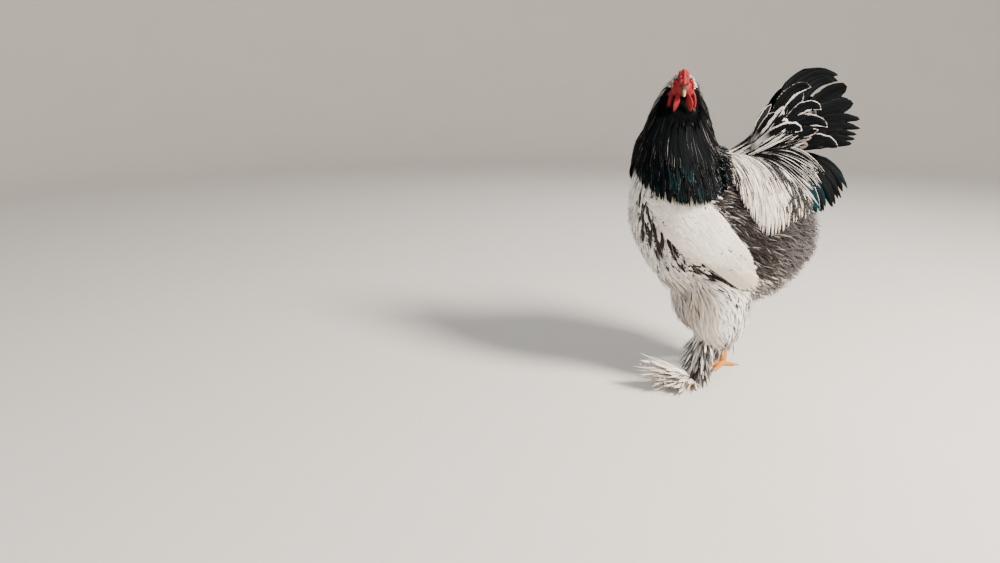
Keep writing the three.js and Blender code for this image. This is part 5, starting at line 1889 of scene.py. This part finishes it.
@dataclass
class Contour:
    """Feathers that grow on the skin itself and lie along it: body, down, thighs and head."""

    name: str
    apart: float
    long: tuple[float, float]
    half: tuple[float, float]
    lift: tuple[float, float]
    outline: Outline
    stations: int
    seed: int
    keep: Callable[[Array], Array]
    lie: Callable[[Array, Array], Array]
    look: Callable[[Array, Chance], dict]
    stray: float  # how far they point off the lie of the coat
    # Brightness at the root and at the tip: a darker downy root, and painted shade where the
    # feathers over it lie.
    downy_root_and_shade: tuple[float, float] = (0.8, 1.0)  # brightness at the root and at the tip
    fuller: float = 0.0  # how much longer and looser those in front and behind are

    def grow(self, skin: Skin) -> Feathers:
        """Grows the feathers: each is marched over the skin along the lie of the coat.

        Args:
            skin: the skin that they grow on.

        Returns:
            The feathers.
        """
        rng = np.random.default_rng(self.seed)
        here, normal = skin.roots(self.keep, self.apart, rng)
        count = len(here)
        t, share = self.outline.widths(self.stations)
        long = rng.uniform(*self.long, count)
        half = rng.uniform(*self.half, count)
        top = rng.uniform(*self.lift, count)
        fuller = 1 + self.fuller * ramp(np.abs(normal[:, 1]), 0.2, 0.8)
        long, top = long * fuller, top * fuller
        stray = rng.normal(0, self.stray, (count, 3))
        places, ways, normals = [], [], []
        for k in range(self.stations):
            way = self.lie(here, normal) + stray
            way = unit(way - normal * np.sum(way * normal, 1)[:, None])
            places.append(here)
            ways.append(way)
            normals.append(normal)
            if k + 1 < self.stations:
                here, normal, _ = skin.nearest(here + way * ((t[k + 1] - t[k]) * long)[:, None])
        base, way, normal = (np.stack(a, 1) for a in (places, ways, normals))
        normal[:, 1:-1] = unit(normal[:, :-2] + normal[:, 1:-1] + normal[:, 2:])
        rise = -1.0 + (top[:, None] + 1.0) * t[None] ** 0.75
        mid = base + normal * rise[..., None]
        across = unit(np.cross(normal, way)) * (half[:, None] * share)[..., None]
        across = across * (1 + rng.normal(0, 0.08, (count, self.stations, 1)))
        sag = normal * (half[:, None] * share * 0.16)[..., None]
        left, right = mid - across - sag, mid + across - sag
        left[:, -1] = right[:, -1] = mid[:, -1]
        look = self.look(base[:, 0], rng)
        # The root is painted darker: its downy base and painted shade under the feathers above.
        shade = mix(self.downy_root_and_shade[0], self.downy_root_and_shade[1], t)[None, :, None]
        look["tint"] = np.clip(look["tint"][:, None] * shade, 0, 1)
        return Feathers(left, mid, right, normal.mean(1), t, **look)


def body_lie(points: Array, normals: Array) -> Array:
    """Which way the body's feathers point."""
    y, z = points[:, 1], points[:, 2]
    front = vec(0, 0.3, np.full(len(y), -0.95))
    flank = vec(0, 0.9, np.full(len(y), -0.45))
    way = mix(front, flank, ramp(y, -185, -60)[:, None])
    back = vec(0, 1.0, np.full(len(y), -0.05))
    way = mix(way, back, ramp(normals[:, 2], 0.3, 0.8)[:, None])
    leg = vec(0, 0.25, np.full(len(y), -1.0))
    return mix(way, leg, (1 - ramp(z, 190, 250))[:, None])


def behind_wing(points: Array) -> Array:
    """The dark downy flank between the wing and the saddle."""
    y, z = points[:, 1], points[:, 2]
    outside, _, across = BIRD.wing_place(y, z)
    return (across > 24) & (outside > -12) & (y > -80) & (y < 80) & (z > 250) & (z < 492)


def on_torso(points: Array) -> Array:
    """Where the body's own contour feathers grow."""
    y, z = points[:, 1], points[:, 2]
    outside, _, _ = BIRD.wing_place(y, z)
    wing = (outside < -12) & (np.abs(points[:, 0]) > 70)
    fluffy = (y > 14 - 0.2 * (z - 330)) & (z < 430)
    covered = (z > 505) & (y < -20)
    fluffy |= behind_wing(points)
    return ~wing & ~fluffy & ~covered & (z > 215) & (z < 560) & (y < 120)


def on_fluff(points: Array) -> Array:
    """Where the soft down of rump and belly grows."""
    y, z = points[:, 1], points[:, 2]
    outside, _, _ = BIRD.wing_place(y, z)
    wing = (outside < -12) & (np.abs(points[:, 0]) > 70)
    loose = (y > 6 - 0.2 * (z - 330)) | ((z < 240) & (np.abs(points[:, 0]) < 60))
    loose |= behind_wing(points)
    return (z > 170) & (z < 460) & loose & ~wing


def on_thigh(points: Array) -> Array:
    """Where the thighs' soft feathers grow."""
    return (points[:, 2] > 96) & (points[:, 2] < 262) & (np.abs(points[:, 0]) > 12)


def on_head(points: Array) -> Array:
    """Where small feathers grow: the crown beside the comb, behind the face and on the throat."""
    local = in_head(points)
    near = np.linalg.norm(local, axis=1) < 72
    comb = (local[:, 2] > 18) & (np.abs(local[:, 1]) < 12) & (local[:, 0] > -14)
    behind = (local[:, 0] < -22) & (local[:, 2] < 4)
    return near & ~Markings.bare(points) & ~comb & ~behind


def head_lie(points: Array, _: Array) -> Array:
    """Which way the head's feathers point: backwards and down, straight down on the throat."""
    local = in_head(points)
    back = HEAD_TURN @ np.array((-1.0, 0, -0.35))
    throat = ramp(-local[:, 2], 8, 24)[:, None]
    return mix(back, np.array((0, 0, -1.0)), throat)


def body_look(points: Array, rng: Chance) -> dict:
    """Colours: flecked breast, dark band by the wing, dark flank; painted shade low in front and by
    the wing.
    """
    count = len(points)
    y, z = points[:, 1], points[:, 2]
    tint = Markings.ground(points) * (1 + rng.normal(0, 0.05, (count, 1)))
    outside, _, across = BIRD.wing_place(y, z)
    # Feathers on the lower front of the breast are greyed: partly their own ash tone, partly
    # painted shade.
    grey_and_shaded = (rng.random(count) < 0.5 * (1 - ramp(z, 380, 440)) * ramp(-y, 20, 90))[:, None]
    tint = np.where(grey_and_shaded, mix(tint, Tone.ASH.light, 0.7 * rng.random((count, 1))), tint)
    # The dark band along the wing's front edge is partly dark feathers and partly painted shadow of
    # the wing's edge.
    wing_band_and_shadow = ramp(np.abs(points[:, 0]), 26, 62) * (1 - ramp(outside, 7, 24))
    wing_band_and_shadow = wing_band_and_shadow * (1 - ramp(across, 0, 20)) * ramp(-y, 0, 50)
    dark = rng.random(count) < 0.74 * wing_band_and_shadow
    tint = np.where(dark[:, None], Tone.BRONZE.light * rng.uniform(0.5, 1.8, (count, 1)), tint)
    pale = tint.mean(1) > 0.3
    fleck = np.where(pale & (rng.random(count) < 0.34 + 0.4 * wing_band_and_shadow),
                     0.35 + 0.45 * rng.random(count), 0)
    mark = np.where(pale[:, None], Tone.BLACK.light * 1.6, Tone.ASH.light)
    lacing = np.where(dark | (~pale & (rng.random(count) < 0.4)), rng.uniform(0.2, 0.46, count), 0)
    return {"tint": np.clip(tint, 0, 1), "mark": mark, "habit": vec(lacing, 0, fleck)}


def fluff_look(points: Array, rng: Chance) -> dict:
    """Colours of the down: smoke grey in patches, browner behind the wing with ash tufts."""
    count = len(points)
    patch = np.sin(points @ (0.07, 0.11, 0.05)) * np.sin(points @ (-0.05, 0.06, 0.12) + 1)
    tint = Markings.ground(points) * (1 + rng.normal(0, 0.16, (count, 1)) + 0.3 * patch[:, None])
    flank = behind_wing(points)[:, None] * (rng.random((count, 1)) < 0.9)
    smoky = mix(Tone.BRONZE.light * 1.2, Tone.SMOKE.light, rng.random((count, 1)))
    smoky = np.where(rng.random((count, 1)) < 0.12, Tone.ASH.light, smoky)
    tint = np.where(flank, smoky, tint)
    return {"tint": np.clip(tint, 0, 1), "mark": Tone.ASH.light, "habit": np.zeros(3)}


def thigh_look(points: Array, rng: Chance) -> dict:
    """Colours of the thighs: white with grey ticks, with tan-grey painted shade inside and in
    front.
    """
    count = len(points)
    x, y, z = points.T
    # The tan towards the front and the ash grey on the inner side, between the legs, are painted
    # shade.
    tint = mix(varied(Tone.WHITE.light, count, rng, 0.05), Tone.TAN.light,
               (0.9 * rng.random(count) * ramp(-y, 30, 80))[:, None])
    tint = mix(tint, Tone.ASH.light, ((1 - ramp(np.abs(x), 25, 70)) * 0.6)[:, None])
    ticks = ramp(y, -60, 0) * ramp(z, 195, 225)
    fleck = np.where(rng.random(count) < 0.02 + 0.25 * ticks, 0.6 + 0.3 * rng.random(count), 0)
    return {"tint": tint, "mark": Tone.SMOKE.light * 0.6, "habit": vec(0, 0, fleck)}


def head_look(points: Array, rng: Chance) -> dict:
    """Colours of the small head feathers: silver on the crown, black on the throat."""
    count = len(points)
    throat = ramp(-in_head(points)[:, 2], 0, 10)
    dark = rng.random(count) < mix(0.2, 1.1, throat)
    grey = mix(Tone.WHITE.light, Tone.SMOKE.light, rng.random((count, 1)) ** 1.5)
    tint = np.where(dark[:, None], Tone.BLACK.light, grey)
    streak = np.where(dark, 0, 0.24 * (rng.random(count) < 0.3))
    return {"tint": tint, "mark": Tone.BLACK.light, "habit": vec(0, streak, 0)}


@dataclass
class FootPlumes:
    """The plumes of shank and foot: a fringe down the shank, a low fan over the outer toes."""

    # The fan, lowest first: [start along the middle toe, angle outwards, rise, length].
    fan: Rows = (
        (4, 70, 3, 70), (10, 46, 2, 96), (18, 26, 3, 108), (26, 8, 5, 112), (8, 28, 15, 124),
        (12, 9, 19, 138), (2, 34, 27, 108), (4, 13, 29, 146),
    )
    fan_count: int = 190
    fringe_count: int = 420
    seed: int = 61

    def build(self, skin: Skin, leg: Leg) -> Coat:
        """Makes one leg's plumes.

        Args:
            skin: the skin that they grow on.
            leg: the leg.

        Returns:
            The piece of coat.
        """
        coat = Coat(f"foot_plumage_{leg.name}", skin)
        rng = np.random.default_rng(self.seed + leg.side)
        coat.add(self.fanned(leg, rng))
        coat.add(self.fringe(leg, rng))
        return coat

    def fanned(self, leg: Leg, rng: Chance) -> Feathers:
        """The fan over the outer toes."""
        rows = np.array(self.fan, float)
        number = self.fan_count
        pick, other = rng.integers(0, len(rows), (2, number))
        share = rng.random((number, 1)) * 0.5
        start, angle, rise, long = (mix(rows[pick], rows[other], share)).T
        wisp = rng.random(number) < 0.45
        long = long * leg.fan * rng.uniform(0.66, 1.02, number) * np.where(wisp, 1.12, 0.98)
        angle, rise = angle + rng.normal(0, 5, number), rise + 3 + rng.normal(0, 3, number)
        half = np.where(wisp, rng.uniform(1.0, 2.2, number), rng.uniform(3.4, 6.6, number))
        swing = rng.normal(0, 7, number)[:, None]
        way = leg.toe_way(2)
        origin = leg.foot_point(10.0) + start[:, None] * way
        a = np.radians(leg.side * (leg.heading + leg.toes[2][0] + angle))
        flat = vec(np.sin(a), -np.cos(a), 0)
        roll = np.radians(22 + rise)
        level = leg.side * np.cos(roll)
        across = vec(-flat[:, 1] * level, flat[:, 0] * level, -np.sin(roll))
        tan = np.tan(np.radians(np.maximum(rise, 1)))[:, None]

        def spot(t: Array, aside: Array) -> Array:
            """The plane of each plume."""
            out = long[:, None] * t
            lift = out * tan * (1 - 0.25 * t) - 3 * (1 - t)
            aside = aside + swing * t * t
            bent = origin[:, None] + flat[:, None] * out[..., None]
            bent = bent + across[:, None] * aside[..., None]
            bent[..., 2] = np.maximum(bent[..., 2] + lift, 0.6)
            return bent

        tint = mix(varied(Tone.WHITE.light, number, rng, 0.05), Tone.TAN.light,
                   rng.random(number)[:, None] * 0.5)
        fleck = np.where(rng.random(number) < 0.14, 0.7, 0)
        return laid(spot, half, Outline.POINTED, 10, rng,
                    out=np.array((0, 0, 1.0)), arch=0.9, tint=tint, mark=Tone.BLACK.light,
                    habit=vec(0, 0, fleck))

    def fringe(self, leg: Leg, rng: Chance) -> Feathers:
        """The fringe down the outside of the shank."""
        number = self.fringe_count
        height = 24 + 104 * rng.random(number) ** 0.7
        wide = ramp(height, 40, 80)
        angle = rng.uniform(mix(-25, -110, wide), mix(125, 210, wide))
        outer = 1 - ramp(np.abs(angle - 40), 60, 110)
        long = rng.uniform(36, 70, number) * ramp(height, 0, 60) * mix(0.75, 1, outer)
        a = np.radians(leg.side * angle)
        out = vec(np.sin(a), -np.cos(a), 0)
        across = vec(-out[:, 1], out[:, 0], 0)

        def spot(t: Array, aside: Array) -> Array:
            """The plane of each plume."""
            drop = long[:, None] * 0.78 * t
            reach = 5 + long[:, None] * mix(0.25, 0.9, outer)[:, None] * t * (1 - 0.25 * t)
            line = leg.shank((leg.hock_z - height[:, None] + drop) / (leg.hock_z - leg.ankle_z))
            point = line + out[:, None] * reach[..., None] + across[:, None] * aside[..., None]
            point[..., 2] = np.maximum(point[..., 2], 0.6)
            return point

        dark = (rng.random((number, 1)) < 0.74) * rng.uniform(0.6, 1, (number, 1))
        tint = mix(varied(Tone.WHITE.light * 0.95, number, rng, 0.1), Tone.BLACK.light * 2, dark)
        return laid(spot, rng.uniform(1.5, 3.2, number), Outline.POINTED, 8, rng, out=out,
                    arch=0.7, tint=tint, mark=Tone.BLACK.light,
                    habit=vec(0, 0, 0.6 * (rng.random(number) < 0.25)))


# ---------------------------------------------------------------------------- hard parts


@dataclass
class Beak:
    """The two halves of the beak, closed on a mouth line that curves down."""

    # [forward, half width, top, bottom].
    upper: Rows = ((22, 7.6, 10, -2.6), (31, 6.2, 8.5, -3.4), (38, 4.5, 5, -4.6), (45, 3.0, 0, -7),
                   (49.5, 1.7, -5.0, -9.6), (51.6, 0.5, -8.6, -10.2))
    lower: Rows = ((22, 7.2, -3.7, -11.5), (31, 6.0, -4.3, -11.3), (38, 4.3, -5.5, -11),
                   (43.5, 2.4, -7.4, -11), (45.2, 0.6, -9, -10.6))

    def build(self) -> list[Form]:
        """Makes both halves, dark at the root, the upper one with nostrils painted dark as shade
        and a darker ridge.
        """
        made = []
        for name, rows in (("beak_top", self.upper), ("beak_under", self.lower)):
            fine = smooth_rows(rows)(np.linspace(rows[0][0], rows[-1][0], 12))
            stations = [(0, (t + b) / 2, f, w, (t - b) / 2) for f, w, t, b in fine.tolist()]
            form = loft(name, stations, HEAD_AXES @ ALONG_BEAK, 24, 2.2)
            modified(form, "SUBSURF", levels=2, render_levels=2)
            points = coordinates(form)
            local = in_head(points)
            dark = ramp(local[:, 2] - np.interp(local[:, 0], (22, 38, 51), (6.5, 2.5, -8)), -1.5, 2)
            dark = dark * 0.5 if name == "beak_top" else dark * 0
            dark = np.maximum(dark, 0.95 * (1 - ramp(local[:, 0], 40, 47)))
            if name == "beak_top":
                for side in (1, -1):
                    away = (local - (31.5, side * 6.0, 3.2)) / (3.0, 3.0, 1.3)
                    dent = 1 - ramp(np.linalg.norm(away, axis=1), 0.3, 1)
                    local[:, 1] -= side * 1.7 * dent
                    # The nostril dents are painted dark, as the shade inside their openings.
                    dark = np.maximum(dark, dent)
                moved(form, out_of_head(local))
            coloured(form.data, "Tint", vec(dark, dark, dark))
            made.append(form)
        return made


@dataclass
class Eye:
    """One eyeball with its iris and pupil facing out of the socket."""

    side: int
    radius: float = 6.2

    def build(self) -> Form:
        """Makes the ball, its cornea a little raised over the iris."""
        name = "eyeball_left" if self.side > 0 else "eyeball_right"
        centre = eye_centre(self.side)
        form = ball(name, centre, (self.radius,) * 3, HEAD_AXES, 48)
        local = in_head(coordinates(form)) - centre
        way = unit(local)
        look = unit(np.array((0.22, self.side, 0.05)))
        cosine = way @ look
        away = np.arccos(np.clip(cosine, -1, 1)) / (math.pi / 2)
        local = local * (1 + 0.05 * (1 - ramp(away, 0.2, 0.6)))[:, None]
        moved(form, out_of_head(local + centre))
        spin = np.arctan2(way[:, 2], way[:, 0]) / (2 * math.pi) + 0.5
        coloured(form.data, "Tint", vec(away, spin, 0))
        return form


@dataclass
class Claw:
    """One claw: a curved horn sheath at the end of a toe."""

    leg: Leg
    toe: int
    long: float = 15.0

    def build(self) -> Form:
        """Makes the claw, from inside the toe's end to its point on the floor."""
        _, reach, root = self.leg.toes[self.toe]
        t = np.linspace(0.02, 0.99, 9)
        size = mix(3.1, 0.5, t ** 1.3)
        up = mix(root * 0.55, 1.2, t) + 2.4 * np.sin(np.pi * t)
        rows = vec(0 * t, up, reach - 4 + self.long * t, size * 0.8, size)
        way = self.leg.toe_way(self.toe)
        axes = self.leg.toe_axes(self.toe)
        form = loft(f"claw_horn_{self.leg.name}_{self.toe + 1}", rows, axes, 12)
        modified(form, "SUBSURF", levels=1, render_levels=1)
        points = coordinates(form)
        points[:, 2] = np.maximum(points[:, 2], 0.05)
        moved(form, points)
        dark = ramp(points @ way, (points @ way).min(), (points @ way).max()) * 0.6 + 0.2
        coloured(form.data, "Tint", vec(dark, dark, dark))
        return form


# ---------------------------------------------------------------------------- studio


@dataclass
class Studio:
    """The plain pale room, its soft lights and the camera."""

    eye_mm: tuple[float, float, float] = (1592.6, -579.6, 675.0)
    heading: tuple[float, float] = (-0.99838, 0.05694)
    pitch: float = 15.6
    lens: float = 27.0
    # The room, in metres: its round floor, the cove round it and the wall over that.
    floor: float = 4.2
    cove: float = 1.8
    wall: float = 2.6
    aim_z: float = 0.33

    def build(self) -> None:
        """Sets up the room."""
        select()
        bpy.ops.mesh.primitive_circle_add(vertices=96, radius=self.floor, fill_type="NGON")
        floor = bpy.context.object
        floor.name = "studio_floor"
        turn = [math.radians(a) for a in range(0, 91, 9)]
        with editing():
            for a, b in zip(turn, turn[1:]):
                extruded((0, 0, self.cove * (math.cos(a) - math.cos(b))))
                grown = (self.floor + self.cove * math.sin(b)) / (
                    self.floor + self.cove * math.sin(a))
                bpy.ops.transform.resize(value=(grown, grown, 1), center_override=(0, 0, 0))
            extruded((0, 0, self.wall))
            bpy.ops.mesh.delete(type="ONLY_FACE")
        smooth_shaded(floor)
        floor.data.materials.append(StudioPaper().material())
        self.light("key_light", (1.5, 1.7, 2.3), size=0.9, watts=330, colour="#FFF5EA")
        self.light("front_light", (2.2, -1.8, 1.7), size=2.2, watts=22, colour="#EEF2FF")
        self.light("back_light", (-2.2, 0.6, 2.0), size=2.0, watts=26, colour="#F2F4FF")
        world = bpy.data.worlds.new("studio_air")
        world.use_nodes = True
        feed(world.node_tree.nodes["Background"], Color=opaque("#E8EAEE"), Strength=0.42)
        bpy.context.scene.world = world
        self.camera()

    def light(
        self, name: str, where: Sequence[float], size: float, watts: float, colour: str
    ) -> None:
        """A soft area light that faces the bird's middle."""
        lamp = bpy.data.lights.new(name, "AREA")
        lamp.shape = "DISK"
        lamp.size = size
        lamp.energy = watts
        lamp.color = linear(colour)
        made = linked(name, lamp)
        made.location = where
        aim = Vector((0, 0, self.aim_z)) - Vector(where)
        made.rotation_euler = aim.to_track_quat("-Z", "Y").to_euler()

    def camera(self) -> None:
        """The camera where the photograph was taken from."""
        made = linked("camera", bpy.data.cameras.new("camera"))
        made.location = framed(np.array(self.eye_mm))
        p = math.radians(self.pitch)
        look = Vector((self.heading[0] * math.cos(p), self.heading[1] * math.cos(p), -math.sin(p)))
        made.rotation_euler = look.to_track_quat("-Z", "Y").to_euler()
        made.data.sensor_width = 36
        made.data.lens = self.lens
        made.data.clip_end = 60
        bpy.context.scene.camera = made


# ---------------------------------------------------------------------------- assembly


def dress(piece: Form, finish: bpy.types.Material, slot: str, *nodes: str) -> None:
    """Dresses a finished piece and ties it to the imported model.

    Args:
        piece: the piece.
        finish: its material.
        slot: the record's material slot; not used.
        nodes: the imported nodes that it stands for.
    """
    piece.data.materials.clear()
    piece.data.materials.append(finish)
    smooth_shaded(piece)
    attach(piece, "root")
    if nodes:
        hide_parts(*nodes)
    faces = sum(len(p.vertices) - 2 for p in piece.data.polygons)
    LOG.info("%s: %d triangles", piece.name, faces)


def main() -> None:
    """Builds the bird piece by piece."""
    logging.basicConfig(level=logging.INFO, format="%(relativeCreated)d %(message)s")
    Studio().build()
    white = Plumage("white_contour_vanes").material()
    black = Plumage("glossy_black_vanes", rough=0.52, gloss=(0.85, 1, 0.98), specular=0.05,
                    sheen=0.0, rim=0.0).material()
    down = Plumage("loose_down", rough=0.9, specular=0.1, sheen=0.25, barb=2.0).material()
    horn = HornSheath("beak_horn", "#DDBB86", "#2A201B").material()
    dark_horn = HornSheath("claw_horn", "#C9B79C", "#3B332E").material()
    skin = Skin()
    flesh = skin.build()
    dress(flesh, LivingSkin().material(), "red_skin", "torso", "head", "comb", "wattle_left",
          "wattle_right", "earlobe_left", "earlobe_right", "thigh_left", "thigh_right",
          "shank_left", "shank_right", "foot_left", "foot_right")
    dress(Hackle().build(skin).build(), black, "black_plumage", "neck")
    for coat, side in zip(Wing().build(skin), ("left", "right")):
        dress(coat.build(), white, "white_plumage", f"wing_{side}")
    dress(Saddle().build(skin).build(), white, "white_plumage", "saddle")
    dress(Tail().build(skin).build(), black, "black_plumage", "tail")
    contours = (
        (Contour("body_plumage", apart=6.6, long=(30, 42), half=(4.0, 5.6), lift=(7.0, 10.0),
                 outline=Outline.POINTED, stations=7, seed=71, keep=on_torso, lie=body_lie,
                 look=body_look, stray=0.08), white, "white_plumage"),
        (Contour("rump_down", apart=3.6, long=(24, 42), half=(0.8, 1.7), lift=(4.0, 20.0),
                 outline=Outline.WISP, stations=4, seed=72, keep=on_fluff, lie=body_lie,
                 look=fluff_look, stray=0.32, downy_root_and_shade=(0.5, 1.3), fuller=0.25), down, "grey_down"),
        (Contour("thigh_plumage", apart=4.4, long=(24, 38), half=(2.2, 3.4), lift=(5.0, 10.0),
                 outline=Outline.POINTED, stations=5, seed=73, keep=on_thigh, lie=body_lie,
                 look=thigh_look, stray=0.14, downy_root_and_shade=(0.85, 1.0), fuller=1.3), white,
         "white_plumage"),
        (Contour("head_feathers", apart=1.5, long=(7, 13), half=(0.9, 1.5), lift=(0.8, 3.4),
                 outline=Outline.POINTED, stations=4, seed=74, keep=on_head, lie=head_lie,
                 look=head_look, stray=0.2), black, "black_plumage"),
    )
    for tract, finish, slot in contours:
        coat = Coat(tract.name, skin)
        coat.add(tract.grow(skin))
        dress(coat.build(), finish, slot)
    for leg in LEGS:
        dress(FootPlumes().build(skin, leg).build(), white, "white_plumage")
        for toe in range(4):
            dress(Claw(leg, toe).build(), dark_horn, "horn", f"claw_{leg.name}_{toe + 1}")
    for form, part in zip(Beak().build(), ("beak_upper", "beak_lower")):
        dress(form, horn, "horn", part)
    wet = EyeGlobe().material()
    for side, name in ((1, "eye_left"), (-1, "eye_right")):
        dress(Eye(side).build(), wet, "eye", name)


if __name__ == "__main__":
    main()
